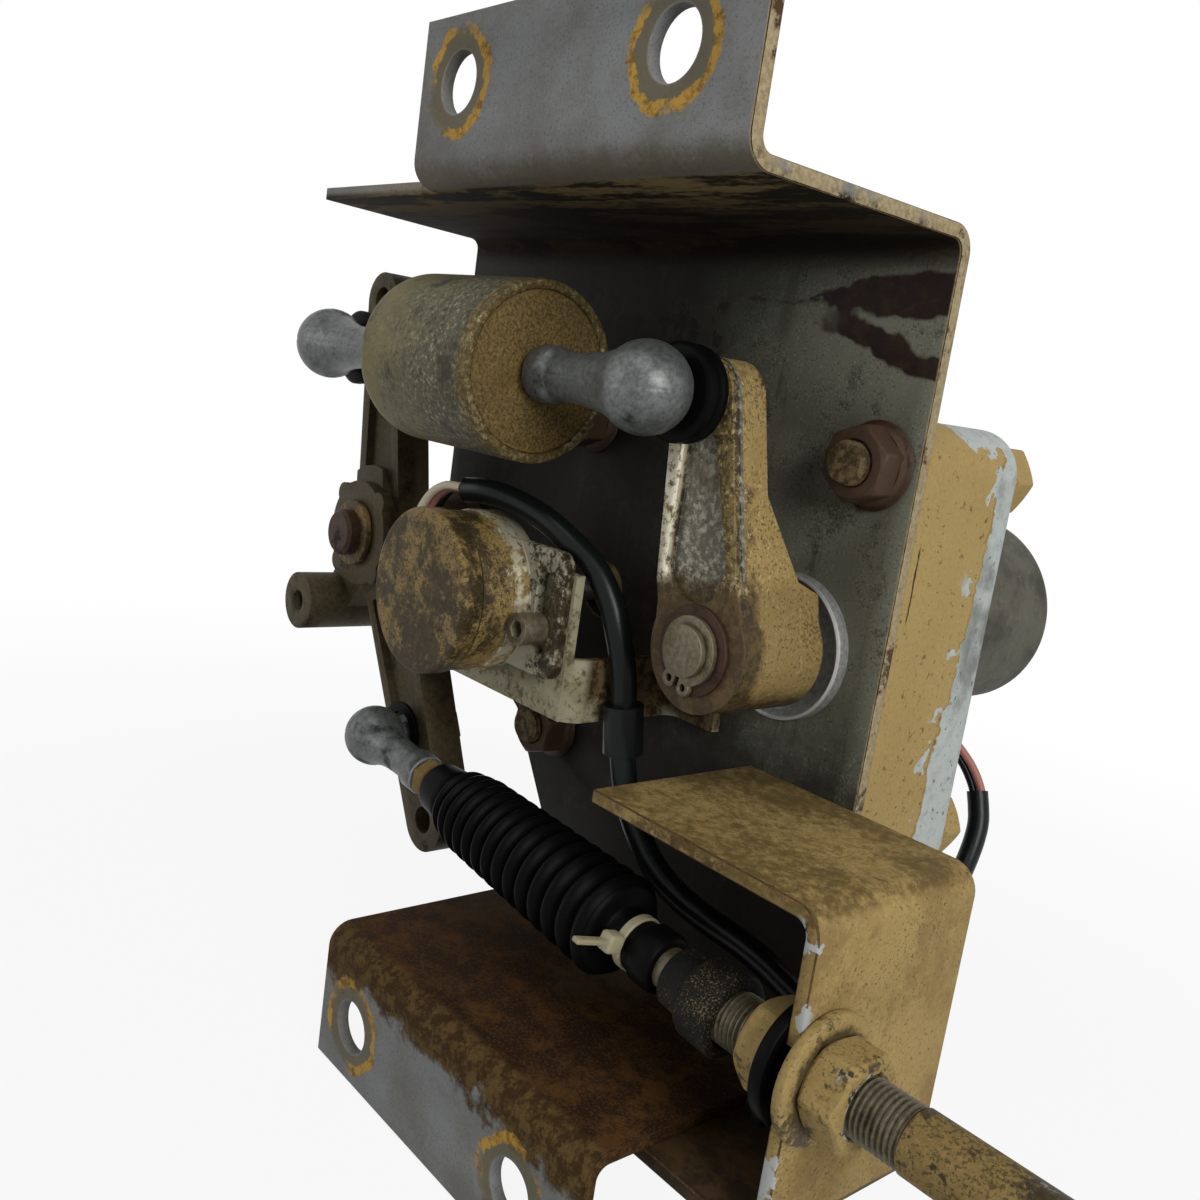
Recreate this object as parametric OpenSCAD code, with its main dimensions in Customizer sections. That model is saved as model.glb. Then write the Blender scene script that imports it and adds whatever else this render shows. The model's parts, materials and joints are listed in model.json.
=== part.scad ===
// Engine governor actuator. A folded bracket carries a geared motor. Its drive lever works a
// relay lever through a spring link, and the relay lever pulls and pushes a control cable.
// Axes: X to the right along the web, Y back from the mounting face, Z up.
// Origin: centre of the four mounting holes, on the front face of the lips.

/* [Mounting bracket] */
// Thickness of the folded sheets
sheet_t = 3.2; // [2.5:0.1:4]
// Inside radius of the bends
bend_r = 3; // [2:0.5:4]
// Mounting holes, distance across
hole_dx = 72; // [66:1:80]
// Mounting holes, distance up and down
hole_dz = 238; // [234:1:246]
// Mounting holes, diameter
hole_d = 14; // [11:0.5:16]
// Depth from the mounting face to the web
web_depth = 68; // [66:1:72]
// Inside height between the two flanges
flange_gap = 193; // [190:1:198]
// Hole centre to the free edge of a lip
lip_margin = 15; // [12:0.5:18]
// Hole centre to the right edge of the bracket
edge_right = 23; // [22:0.5:26]
// Hole centre to the left edge of the lips
edge_left = 16; // [12:0.5:20]
// Relay pivot to the left edge of the web
wing_margin = 12.7; // [11:0.1:16]
// Slant of the top flange's left edge
wing_slant = 11; // [4:1:16]
// Set-back of the top flange's front edge beside the lip
wing_relief = 8; // [7:0.5:12]

/* [Geared motor] */
// Output shaft, distance right of the origin
shaft_x = 31.5; // [30:0.5:33]
// Output shaft, height above the origin
shaft_z = 1.2; // [-1:0.2:3]
// Output shaft, diameter
shaft_d = 12; // [10:0.5:13]
// Case bolts, distance across
case_bolt_dx = 98.5; // [96:0.5:102]
// Case bolts, distance up and down
case_bolt_dz = 92; // [90:1:98]
// Case bolts, diameter
case_bolt_d = 10; // [8:0.5:10]
// Bolt centre to the outside of the case
case_margin = 11.5; // [11:0.5:13]
// Depth of the gear case behind the web
case_depth = 42; // [42:1:46]
// Wall of the gear case
case_wall = 3.5; // [3:0.1:3.8]
// Rounding of the case's back edges
case_edge_r = 7; // [4:0.5:8]
// Diameter of the motor can
motor_d = 53; // [48:1:56]
// Length of the motor can behind the case
motor_len = 47; // [42:1:60]
// Gear module
gear_module = 2; // [1.9:0.02:2]

/* [Drive lever] */
// Shaft centre to ball centre
lever_arm = 56.5; // [54:0.5:59]
// Lean of the levers to the left at rest, degrees
lever_lean = 9.4; // [6:0.2:11]
// Diameter of the drive lever's hub
drive_hub_d = 29; // [27:0.5:31]
// Diameter of the drive lever's eye
drive_eye_d = 18; // [16:0.5:20]
// Thickness of the lever arms
arm_t = 11; // [9:0.5:13]
// Width of the raised rims along the arms
rim_w = 3.2; // [2.5:0.1:4]
// Depth of the channel between the rims
channel_t = 2.5; // [1.5:0.1:4]

/* [Ball joints] */
// Ball centres, distance behind the mounting face
ball_y = 18; // [17:0.5:20]
// Ball centre to the lever's face
ball_reach = 17; // [16:0.5:18]
// Diameter of the balls
ball_d = 13; // [11:0.5:13]
// Diameter of the cable's ball
cable_ball_d = 10; // [9:0.2:10.4]
// Diameter of the studs
stud_d = 8; // [6:0.5:8]
// Outside diameter of the sockets
socket_d = 20.4; // [19:0.2:22]
// Play between ball and socket of the link
link_play = 0.4; // [0.3:0.05:0.6]
// Play between ball and socket of the cable
cable_play = 1.4; // [1.3:0.1:1.6]

/* [Spring link] */
// Ball to ball
link_len = 141.8; // [138:0.5:146]
// Length of a socket from its ball centre
socket_len = 36; // [34:0.5:36.5]
// Diameter of the spring capsule
capsule_d = 43; // [38:1:46]
// Bare stem between the lock nut and the spring capsule
stem_show = 9.7; // [7:0.1:13]
// Drive ball to the capsule's right end
capsule_gap = 37; // [36.8:0.2:40]
// Wall of the spring capsule
capsule_wall = 2.4; // [1.5:0.1:3]
// Wire of the capsule's spring
spring_wire = 3.2; // [2:0.1:4]

/* [Relay lever] */
// Diameter of the pivot
pivot_d = 14; // [12:0.5:15]
// Diameter of the relay lever's hub
relay_hub_d = 30; // [28:0.5:32]
// Pivot to the ball of the cable
cable_arm = 63.4; // [62:0.2:65]
// Cable arm from straight down, degrees
cable_arm_angle = 29.5; // [28:0.1:31]
// Pivot to the spare eye at the top
top_eye_arm = 72; // [71.5:0.5:75]
// Pivot to the eye at the lower tip
tip_eye_arm = 90; // [88:0.5:91]
// Diameter of the spare eyes
spare_eye_d = 8; // [6:0.5:8.5]

/* [Sensor] */
// Sensor axis, distance right of the origin
sensor_x = -38.1; // [-38.6:0.1:-36]
// Sensor axis, height above the origin
sensor_z = -0.6; // [-2:0.2:2]
// Diameter of the sensor's cap
sensor_d = 42.2; // [40:0.2:43]
// Sensor flange's front, distance behind the mounting face
sensor_flange_y = 26; // [25:0.5:27]
// Length of the sensor in front of its flange
sensor_len = 20; // [18:0.5:22]
// Sheet of the sensor bracket
sensor_sheet_t = 2.6; // [2:0.1:3]

/* [Control cable] */
// Cable bracket's end face, distance right of the origin
cable_end_x = 92.2; // [90:0.2:96]
// Room between the cable bracket and the case nut under it
nut_room = 0.6; // [0.4:0.1:2]
// Left edge of the cable bracket
cable_left_x = 26.5; // [22:0.5:30]
// Front edge of the cable bracket
cable_front_y = 16; // [12:0.5:17]
// Cable axis behind the mounting face
cable_y = 23.5; // [22.5:0.5:24]
// Cable axis, height
cable_z = -65; // [-67:0.2:-64]
// Swivel centre, distance right of the origin
swivel_x = 66; // [65:0.1:67]
// Thread of the cable hub
hub_thread_d = 12.4; // [12:0.2:13]
// Pipe of the cable hub
hub_pipe_d = 12.8; // [12.4:0.2:14]
// Right end of the hub's pipe
hub_end_x = 150; // [140:1:170]
// Diameter of the cable rod
rod_d = 5.4; // [5:0.2:5.6]
// Diameter of the swivel tube
tube_d = 7.6; // [7.2:0.2:7.8]
// Number of folds of the boot
boot_folds = 13; // [9:1:15]
// Diameter of the boot's first fold
boot_small_d = 21; // [20:0.5:23]
// Diameter of the boot's last fold
boot_large_d = 25; // [24:0.5:26]

/* [Hidden] */
$fn = 64;

run_gap = 0.05;
air_gap = 0.35;
seat_gap = 0.3;

// Bracket
x_right = hole_dx / 2 + edge_right;
x_lip = -hole_dx / 2 - edge_left;
z_flange = flange_gap / 2;
z_lip = hole_dz / 2 + lip_margin;
web_front = web_depth;
web_back = web_depth + sheet_t;

// Levers and link
lever_y = ball_y + ball_reach;
arm_back = lever_y + arm_t;
lean = [-sin(lever_lean), cos(lever_lean)];
shaft_at = [shaft_x, shaft_z];
drive_ball = shaft_at + lever_arm * lean;
relay_ball = drive_ball - [link_len, 0];
pivot_at = shaft_at - [link_len, 0];
x_wing = pivot_at[0] - wing_margin;
web_wing = x_lip - x_wing;
cable_dir = [sin(cable_arm_angle), -cos(cable_arm_angle)];
cable_ball = pivot_at + cable_arm * cable_dir;
horn_at = pivot_at + [-18.7, -25.8];
hub_back_gap = 5;
drive_hub_front = lever_y + 1;
drive_hub_back = web_front - hub_back_gap;
washer_t = 1.2;
shaft_washer_d = shaft_d + 9;
circlip_t = 1.4;
shaft_end = drive_hub_front - washer_t - circlip_t - 1.6;
socket_face = 8;
stud_collar_t = 1.4;
nut_k = 6.4;
stud_nut_k = 3.2;

// Relay pivot
relay_front = lever_y - 7;
relay_back = web_front - 12;
pivot_ring_t = 2.2;
pivot_end = relay_front - pivot_ring_t - 4.4;

// Gear case
case_x = shaft_x - 33.35;
case_right = case_x + case_bolt_dx / 2 + case_margin;
case_w = case_bolt_dx + 2 * case_margin;
case_h = case_bolt_dz + 2 * case_margin;
case_corner_r = case_margin - 0.5;
case_plate_t = 3.8;
case_back = web_back + case_depth;
case_inside = web_back + case_plate_t;
bolt_seat_d = 1.7 * case_bolt_d;
nut_flange_r = case_bolt_d;
cable_top_z = shaft_z - case_bolt_dz / 2 + nut_flange_r + nut_room + sheet_t;

// Gear train
addendum = 0.55 * gear_module;
dedendum = 0.75 * gear_module;
backlash = 0.3;
sector_n = 29;
sector_pinion_n = 13;
sensor_pinion_n = 14;
sensor_gear_n = 18;
motor_gear_n = 28;
motor_pinion_n = 9;
sensor_at = [sensor_x, sensor_z];
function mesh_distance(a, b) = gear_module * (a + b) / 2;
function unit(v) = v / norm(v);
function turn90(v) = [-v[1], v[0]];
function heading(v) = atan2(v[1], v[0]);
function polar(r, a) = r * [cos(a), sin(a)];
// Third corner of a triangle on p and q, at distances a and b, on the right of the way p to q
function third_corner(p, q, a, b) =
  let (d = norm(q - p), s = (a * a - b * b + d * d) / (2 * d), u = unit(q - p))
  p + s * u - sqrt(a * a - s * s) * turn90(u);
reduction_at = third_corner(sensor_at, shaft_at,
  mesh_distance(sensor_pinion_n, sensor_gear_n), mesh_distance(sector_n, sector_pinion_n));
motor_bearing = 32.7;
motor_at = reduction_at + polar(mesh_distance(motor_gear_n, motor_pinion_n), motor_bearing);
layer_gap = 1.5;
sector_t = 10;
sensor_gear_t = 7;
motor_gear_t = 8;
sector_y = case_inside + layer_gap;
sensor_gear_y = sector_y + sector_t + layer_gap;
motor_gear_y = sensor_gear_y + sensor_gear_t + layer_gap;
reduction_d = 8;
sensor_shaft_d = 6;
rotor_d = 6;

// Cable line: from the relay's cable ball to the swivel centre
cable_from = [cable_ball[0], cable_y, cable_ball[1]];
swivel_at = [swivel_x, cable_y, cable_z];
cable_line = swivel_at - cable_from;
cable_span = norm(cable_line);
cable_dip = asin(-cable_line[2] / cable_span);
rod_nut_at = 30;
rod_nut_t = 5;
rod_nut_af = 10;
boot_from = rod_nut_at + rod_nut_t + 1;
boot_cuff = 7;
boot_neck = 15.5;
boot_to = cable_span - 31;
boot_wall = 1.3;
boot_depth = 2.6;
boot_start = boot_from + boot_cuff;
boot_neck_d = tube_d + 4.4;
tie_at = boot_to + 4;
tie_w = 2.6;
tube_from = boot_to - 29;
sleeve_from = cable_span - 8;
sleeve_len = 17.5;
nut_af = 18;
nut_t = 9;
pad_t = 3;
nut_in_t = 7.4;
washer_k = 2.6;
hub_nut_in = cable_end_x - sheet_t - pad_t - nut_in_t;
washer_d = 27;

// Sensor
flange_t = 3;
sensor_bracket_y = sensor_flange_y + flange_t;
slot_x = sensor_d / 2 + 4.5;
slot_len = 21;
slot_w = 5.6;
ear_x = slot_x + 7.4;
ear_h = 32;
bracket_right = sensor_x + slot_x + 11;
bracket_left = sensor_x - slot_x - 2.4;
bracket_bottom = sensor_z - 25.8;
bracket_top = sensor_z + 11;
side_h = 16;
foot_w = 15.5;

// Leads
connector_at = [60.4, 44, -z_flange - sheet_t];
connector_size = [24, 18, 14];
lead_d = 6.6;
wire_d = 2.2;
motor_lead_d = 6;
sensor_lead_route = [
  [-42, 20, 25], [-36, 22, 25.6], [-29.5, 25.5, 24.6], [-21, 29, 22], [-12.5, 32, 17.6],
  [-6, 35.4, 12.4], [-1.2, 37.4, 6], [2, 39, -2], [3.4, 41, -10], [4, 42.4, -18], [4.4, 43.4, -26],
  [5.4, 44.2, -35], [8.4, 45, -44], [13.4, 46, -52], [20.4, 46.8, -58.4], [29, 48, -62.4],
  [39, 49.4, -64.6], [49, 51, -66.4], [58, 52.4, -69.4], [66, 53, -73], [71, 53, -79.6],
  [71, 53, connector_at[2] + connector_size[2]]
];
motor_lead_route = [
  [27, 140, -18], [29, 142.4, -23], [33, 145.6, -29], [38.4, 148.4, -35], [43, 149.4, -42],
  [46, 148, -50], [47.6, 144, -58], [49, 137.4, -66], [51, 128.4, -74], [54, 117, -81],
  [58, 104.4, -86.4], [63, 91, -90], [69, 80, -92], [74, 69.4, -93],
  [74, connector_at[1] + connector_size[1], -93]
];

// Shapes that repeat

function rot2(v, g) = [v[0] * cos(g) - v[1] * sin(g), v[0] * sin(g) + v[1] * cos(g)];

// Points round one bend of a sheet's middle line, each with its sideways direction
function bend(p, a, b, r, n) =
  let (s = sign(cross(a, b)), turn = acos(a * b), c = p - a * r * tan(turn / 2) + turn90(a) * s * r)
  [for (k = [0 : n]) let (d = rot2(a, s * turn * k / n)) [c - turn90(d) * s * r, turn90(d)]];

// A folded sheet's middle line through corner points p
function fold_line(p, r, n = 8) =
  let (last = len(p) - 1)
  concat(
    [[p[0], turn90(unit(p[1] - p[0]))]],
    [for (i = [1 : last - 1]) each bend(p[i], unit(p[i] - p[i - 1]), unit(p[i + 1] - p[i]), r, n)],
    [[p[last], turn90(unit(p[last] - p[last - 1]))]]
  );

// Section of a folded sheet of thickness t
module fold_section(p, t) {
  q = fold_line(p, bend_r + t / 2);
  polygon(concat(
    [for (e = q) e[0] + e[1] * t / 2],
    [for (i = [len(q) - 1 : -1 : 0]) q[i][0] - q[i][1] * t / 2]
  ));
}

// A section drawn in Y and Z, run from x0 to x1
module along_x(x0, x1) {
  translate([x0, 0, 0]) rotate([90, 0, 90]) linear_extrude(x1 - x0) children();
}

// A section drawn in X and Z, run from y0 to y1
module along_y(y0, y1) {
  translate([0, y1, 0]) rotate([90, 0, 0]) linear_extrude(y1 - y0) children();
}

// Moves a shape turned about Z so that it turns about Y through the point c of the X-Z plane
module turn_on_y(c) {
  translate([c[0], 0, c[1]]) rotate([-90, 0, 0]) children();
}

// A round bar along Y
module bar_y(c, y0, y1, d) {
  translate([c[0], y0, c[1]]) rotate([-90, 0, 0]) cylinder(h = y1 - y0, d = d);
}

// A round bar along X
module bar_x(p, len, d) {
  translate(p) rotate([0, 90, 0]) cylinder(h = len, d = d);
}

// A hexagon prism along Y
module hex_y(c, y0, y1, af) {
  translate([c[0], y0, c[1]]) rotate([-90, 0, 0]) cylinder(h = y1 - y0, d = af / cos(30), $fn = 6);
}

// Outline of two discs and the band between their outer tangents
module tapered_arm(p, dp, q, dq) {
  a = heading(q - p);
  g = acos((dp - dq) / 2 / norm(q - p));
  translate(p) circle(d = dp);
  translate(q) circle(d = dq);
  polygon([
    p + polar(dp / 2, a + g), q + polar(dq / 2, a + g),
    q + polar(dq / 2, a - g), p + polar(dp / 2, a - g)
  ]);
}

// Block with rounded upright corners (radius rc) and a rounded back edge (radius re), front at y = 0
module case_block(w, h, depth, rc, re) {
  cx = w / 2 - rc;
  cz = h / 2 - rc;
  for (sx = [-1, 1]) for (sz = [-1, 1]) turn_on_y([sx * cx, sz * cz]) rotate_extrude() {
    square([rc, depth - re]);
    square([rc - re, depth]);
    intersection() {
      translate([rc - re, depth - re]) circle(re);
      square([rc, depth]);
    }
  }
  along_x(-cx, cx) edge_section(h, depth, re);
  rotate([0, 90, 0]) along_x(-cz, cz) edge_section(w, depth, re);
}

// Section of the block across its rounded back edges, drawn in depth and width
module edge_section(w, depth, re) {
  translate([0, -w / 2]) square([depth - re, w]);
  translate([0, re - w / 2]) square([depth, w - 2 * re]);
  for (s = [-1, 1]) translate([depth - re, s * (w / 2 - re)]) circle(re);
}

// Gear outline with involute flanks; a tooth is centred at angle phase
function involute(a) = tan(a) * 180 / PI - a;
function half_tooth(n, r) =
  let (rp = gear_module * n / 2, rb = rp * cos(20), a = acos(min(1, rb / max(r, rb))))
  90 / n - backlash / 4 / rp * 180 / PI + involute(20) - involute(a);
function tooth(n, at) =
  let (rp = gear_module * n / 2, rb = rp * cos(20),
    radii = [rp - dedendum, max(rb, rp - 0.8 * addendum), rp, rp + addendum])
  concat(
    [for (r = radii) polar(r, at - half_tooth(n, r))],
    [for (i = [3 : -1 : 0]) polar(radii[i], at + half_tooth(n, radii[i]))]
  );
module gear_outline(n, phase, first = 0, last = -1) {
  end = last < 0 ? n - 1 : last;
  polygon([for (k = [first : end]) each tooth(n, phase + 360 * k / n)]);
}

// A tube swept along a route, its rings square to the way and turned to the direction side
function ring_axes(route, i, side) =
  let (n = len(route) - 1, t = unit(route[min(i + 1, n)] - route[max(i - 1, 0)]), u = unit(cross(t, side)))
  [u, cross(t, u)];
module swept_tube(route, d, sides, side) {
  rings = len(route);
  points = [for (i = [0 : rings - 1]) let (a = ring_axes(route, i, side)) for (k = [0 : sides - 1])
    route[i] + d / 2 * (cos(360 * k / sides) * a[0] + sin(360 * k / sides) * a[1])];
  walls = [for (i = [0 : rings - 2]) for (k = [0 : sides - 1]) let (j = (k + 1) % sides)
    each [[i * sides + k, i * sides + j, (i + 1) * sides + j],
      [i * sides + k, (i + 1) * sides + j, (i + 1) * sides + k]]];
  ends = [[for (k = [sides - 1 : -1 : 0]) k], [for (k = [0 : sides - 1]) (rings - 1) * sides + k]];
  polyhedron(points, concat(walls, ends));
}

// The cable's own frame: x runs from the cable ball (0) towards the swivel
module on_cable() {
  translate(cable_from) rotate([0, cable_dip, 0]) children();
}

// A ring shape turned about the cable, drawn as radius and distance
module turned_on_x() {
  rotate([0, 90, 0]) rotate_extrude() children();
}

// Ball socket: bulb, tapered neck and collar, with its neck along +X and its mouth to +Y
module ball_socket(ball, play, mouth, len) {
  bulb = socket_d / 2;
  neck = stud_d / 2 + 1.7;
  collar = stud_d / 2 + 2.7;
  blend = 50;
  difference() {
    turned_on_x() polygon(concat(
      [for (a = [180 : -10 : blend]) [bulb * sin(a), bulb * cos(a)]],
      [[neck + 0.5, len - 14], [neck, len - 9], [collar, len - 6], [collar, len], [0, len]]
    ));
    sphere(d = ball + 2 * play);
    rotate([-90, 0, 0]) cylinder(h = socket_d, d = mouth);
    translate([-socket_d, socket_face, -socket_d]) cube(2 * socket_d);
    translate([len - 12, 0, 0]) rotate([0, 90, 0]) cylinder(h = 13, d = stud_d + 2 * run_gap);
  }
}

// Ball stud standing on a lever's face: ball, neck, collar and shank through the arm
module ball_stud(c, y, ball) {
  translate([c[0], y, c[1]]) sphere(d = ball);
  bar_y(c, y, lever_y, stud_d - 1.6);
  bar_y(c, lever_y - stud_collar_t, lever_y, stud_d + 3);
  bar_y(c, lever_y - 1, arm_back + stud_nut_k + 0.8, stud_d);
}

module stud_nut(c) {
  difference() {
    hex_y(c, arm_back, arm_back + stud_nut_k, 1.6 * stud_d);
    bar_y(c, arm_back - 1, arm_back + stud_nut_k + 1, stud_d + 2 * run_gap);
  }
}

// Rubber boot between a socket's mouth and a lever, with a waist
module socket_boot(d, bore, reach) {
  len = reach - socket_face - stud_collar_t - air_gap;
  translate([0, socket_face, 0]) rotate([-90, 0, 0]) rotate_extrude() polygon([
    [bore / 2, 0], [d / 2 - 0.6, 0], [d / 2, 0.1 * len], [d / 2, 0.36 * len], [d / 2 - 1.1, 0.46 * len],
    [d / 2 - 1.1, 0.56 * len], [d / 2, 0.66 * len], [d / 2 - 0.4, 0.9 * len],
    [d / 2 - 1.6, len], [bore / 2, len]
  ]);
}

case_bolt_places = [for (sx = [-1, 1]) for (sz = [-1, 1])
  [case_x + sx * case_bolt_dx / 2, shaft_z + sz * case_bolt_dz / 2]];
foot_screw_d = 6;
foot_screws = [for (x = [bracket_right + foot_w - 6.5, bracket_left - foot_w + 6.5])
  [x, bracket_bottom + side_h / 2]];

// Bracket and case

module mounting_bracket() color([0.42, 0.44, 0.47]) {
  lip = sheet_t / 2;
  fl = z_flange + sheet_t / 2;
  web = web_front + sheet_t / 2;
  cut = 4 * sheet_t;
  elbow = [x_wing, pivot_at[1] - 13];
  difference() {
    along_x(x_wing, x_right)
      fold_section([[lip, z_lip], [lip, fl], [web, fl], [web, -fl], [lip, -fl], [lip, -z_lip]], sheet_t);
    translate([x_wing - 1, -1, -z_lip - 1]) cube([web_wing + 1, wing_relief + 1, 2 * z_lip + 2]);
    along_y(wing_relief - 1, web_back + 1) polygon([
      [x_wing - 1, elbow[1]], elbow, elbow + [18, -12], elbow + [52.8, -34.2],
      [x_lip, -0.75 * z_flange], [x_lip, -z_lip - 1], [x_wing - 1, -z_lip - 1]
    ]);
    translate([0, 0, z_flange - 1]) linear_extrude(cut) polygon([
      [x_wing - 1, wing_relief - 1], [x_wing + wing_slant, wing_relief - 1],
      [x_wing, web_front - bend_r], [x_wing - 1, web_front - bend_r]
    ]);
    for (sx = [-1, 1]) for (sz = [-1, 1])
      bar_y([sx * hole_dx / 2, sz * hole_dz / 2], -1, sheet_t + 1, hole_d);
    for (c = case_bolt_places) bar_y(c, web_front - 1, web_back + 1, case_bolt_d + 0.6);
    bar_y(shaft_at, web_front - 1, web_back + 1, shaft_d + 12);
    bar_y(sensor_at, web_front - 1, web_back + 1, sensor_shaft_d + 10);
    bar_y(pivot_at, web_front - 1, web_back + 1, pivot_d - 2 + 2 * run_gap);
    for (c = foot_screws) bar_y(c, web_front - 1, web_back + 1, foot_screw_d + 2 * run_gap);
  }
}

module cable_bracket() color([0.66, 0.53, 0.34]) {
  top = cable_top_z - sheet_t / 2;
  end = cable_end_x - sheet_t / 2;
  bottom = -z_flange - sheet_t * 1.5;
  slot = hub_thread_d + 0.8;
  difference() {
    along_y(cable_front_y, web_front)
      fold_section([[cable_left_x, top], [end, top], [end, bottom], [cable_left_x, bottom]], sheet_t);
    translate([end - sheet_t, cable_front_y - 1, cable_z - slot / 2])
      cube([2 * sheet_t, cable_y - cable_front_y + 1, slot]);
    bar_x([end - sheet_t, cable_y, cable_z], 2 * sheet_t, slot);
  }
}

// Hollow of the gear case, with solid corners for the bolts
module case_hollow() {
  along_y(case_inside - 0.01, case_back - case_wall) translate([case_x, shaft_z]) difference() {
    square([case_w - 2 * case_wall, case_h - 2 * case_wall], center = true);
    for (sx = [-1, 1]) for (sz = [-1, 1])
      translate([sx * case_bolt_dx / 2, sz * case_bolt_dz / 2]) square(2 * case_margin - 2, center = true);
  }
}

module gear_case() color([0.72, 0.62, 0.44]) {
  difference() {
    union() {
      translate([case_x, case_inside, shaft_z])
        case_block(case_w, case_h, case_depth - case_plate_t, case_corner_r, case_edge_r);
      for (c = case_bolt_places) bar_y(c, case_back - case_edge_r - 1, case_back, bolt_seat_d);
    }
    case_hollow();
    for (c = case_bolt_places) bar_y(c, web_back, case_back + 1, case_bolt_d + 0.6);
    bar_y(motor_at, case_inside, case_back + 1, rotor_d + 2 * run_gap);
  }
  reduction_post();
}

// Boss on the case's back wall that carries the reduction gear's rear journal
module reduction_post() {
  y0 = motor_gear_y + motor_gear_t + layer_gap / 2;
  difference() {
    bar_y(reduction_at, y0, case_back - case_wall / 2, reduction_d + 6);
    bar_y(reduction_at, y0 - 1, case_back - case_wall, reduction_d + 2 * run_gap);
  }
}

module case_plate() color([0.70, 0.75, 0.78]) {
  difference() {
    translate([case_x, web_back, shaft_z]) along_y(0, case_plate_t) {
      for (sx = [-1, 1]) for (sz = [-1, 1])
        translate([sx * (case_w / 2 - case_corner_r), sz * (case_h / 2 - case_corner_r)]) circle(case_corner_r);
      square([case_w - 2 * case_corner_r, case_h], center = true);
      square([case_w, case_h - 2 * case_corner_r], center = true);
    }
    for (c = case_bolt_places) bar_y(c, web_back - 1, case_inside + 1, case_bolt_d + 0.6);
    bar_y(shaft_at, web_back - 1, case_inside + 1, shaft_d + 8);
    bar_y(reduction_at, web_back - 1, case_inside + 1, reduction_d + 2 * run_gap);
    bar_y(sensor_at, web_back - 1, case_inside + 1, sensor_shaft_d + 2 * run_gap);
  }
}

bolt_head_k = 7;
bolt_nut_k = 9;
bolt_show = 2.4;

module case_bolts() color([0.62, 0.55, 0.42]) {
  for (c = case_bolt_places) {
    bar_y(c, web_front - bolt_nut_k - bolt_show, case_back + 1, case_bolt_d);
    bar_y(c, case_back, case_back + 1.6, bolt_seat_d);
    hex_y(c, case_back + 1, case_back + 1.6 + bolt_head_k, 1.6 * case_bolt_d);
  }
}

module case_nuts() color([0.27, 0.16, 0.13]) {
  for (c = case_bolt_places) difference() {
    union() {
      turn_on_y(c) translate([0, 0, web_front]) mirror([0, 0, 1]) rotate_extrude()
        polygon([[0, 0], [nut_flange_r, 0], [nut_flange_r, 1.4], [0.8 * case_bolt_d, 3], [0, 3]]);
      hex_y(c, web_front - bolt_nut_k, web_front - 1, 1.6 * case_bolt_d);
    }
    bar_y(c, web_front - bolt_nut_k - 1, web_front + 1, case_bolt_d + 2 * run_gap);
  }
}

// Motor and gears

module motor_can() color([0.52, 0.53, 0.50]) {
  r = motor_d / 2;
  wall = 2;
  dome = 6;
  turn_on_y(motor_at) translate([0, 0, case_back]) difference() {
    rotate_extrude() {
      square([r, motor_len - dome]);
      square([r - dome, motor_len]);
      intersection() {
        translate([r - dome, motor_len - dome]) circle(dome);
        square([r, motor_len]);
      }
    }
    translate([0, 0, -1]) cylinder(h = motor_len - wall - 1, r = r - wall - 3);
    translate([0, 0, motor_len - wall - 3]) cylinder(h = 2 * wall + 0.5, d = rotor_d + 2 * run_gap);
  }
}

module motor_rotor() color([0.45, 0.42, 0.38]) {
  end = case_back + motor_len - 1;
  bar_y(motor_at, motor_gear_y + 0.5, end, rotor_d);
  bar_y(motor_at, case_back + 8, end - 8, motor_d - 18);
  along_y(motor_gear_y, motor_gear_y + motor_gear_t) translate(motor_at)
    gear_outline(motor_pinion_n, motor_bearing + 180 + 180 / motor_pinion_n);
}

module output_shaft() color([0.55, 0.52, 0.47]) {
  groove = drive_hub_front - washer_t - circlip_t;
  difference() {
    bar_y(shaft_at, shaft_end, sensor_gear_y + 2, shaft_d);
    turn_on_y(shaft_at) translate([0, 0, groove]) difference() {
      cylinder(h = circlip_t, d = shaft_d + 2);
      translate([0, 0, -1]) cylinder(h = circlip_t + 2, d = shaft_d - 1);
    }
  }
}

sector_bearing = heading(reduction_at - shaft_at);

module sector_gear() color([0.50, 0.50, 0.48]) {
  reach = 5;
  difference() {
    along_y(sector_y, sector_y + sector_t) translate(shaft_at) {
      circle(d = shaft_d + 12);
      polygon(concat([[0, 0]],
        [for (k = [-reach : reach]) each tooth(sector_n, sector_bearing + 360 * k / sector_n)]));
    }
    bar_y(shaft_at, sector_y - 1, sector_y + sector_t + 1, shaft_d + 2 * run_gap);
  }
}

module reduction_gear() color([0.58, 0.52, 0.35]) {
  y_end = case_back - case_wall - 0.5;
  bar_y(reduction_at, web_back + 0.5, y_end, reduction_d);
  translate([reduction_at[0], 0, reduction_at[1]]) {
    along_y(sector_y - 0.5, sector_y + sector_t + layer_gap / 2)
      gear_outline(sector_pinion_n, sector_bearing + 180 + 180 / sector_pinion_n);
    along_y(sector_y + sector_t + layer_gap / 2, motor_gear_y)
      gear_outline(sensor_pinion_n, heading(sensor_at - reduction_at));
    along_y(motor_gear_y, motor_gear_y + motor_gear_t) gear_outline(motor_gear_n, motor_bearing);
  }
}

module sensor_shaft() color([0.60, 0.60, 0.58]) {
  phase = heading(reduction_at - sensor_at) + 180 / sensor_gear_n;
  y_end = sensor_gear_y + sensor_gear_t;
  bar_y(sensor_at, sensor_flange_y - 4, y_end, sensor_shaft_d);
  along_y(sensor_gear_y, y_end) translate(sensor_at) gear_outline(sensor_gear_n, phase);
}

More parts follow.
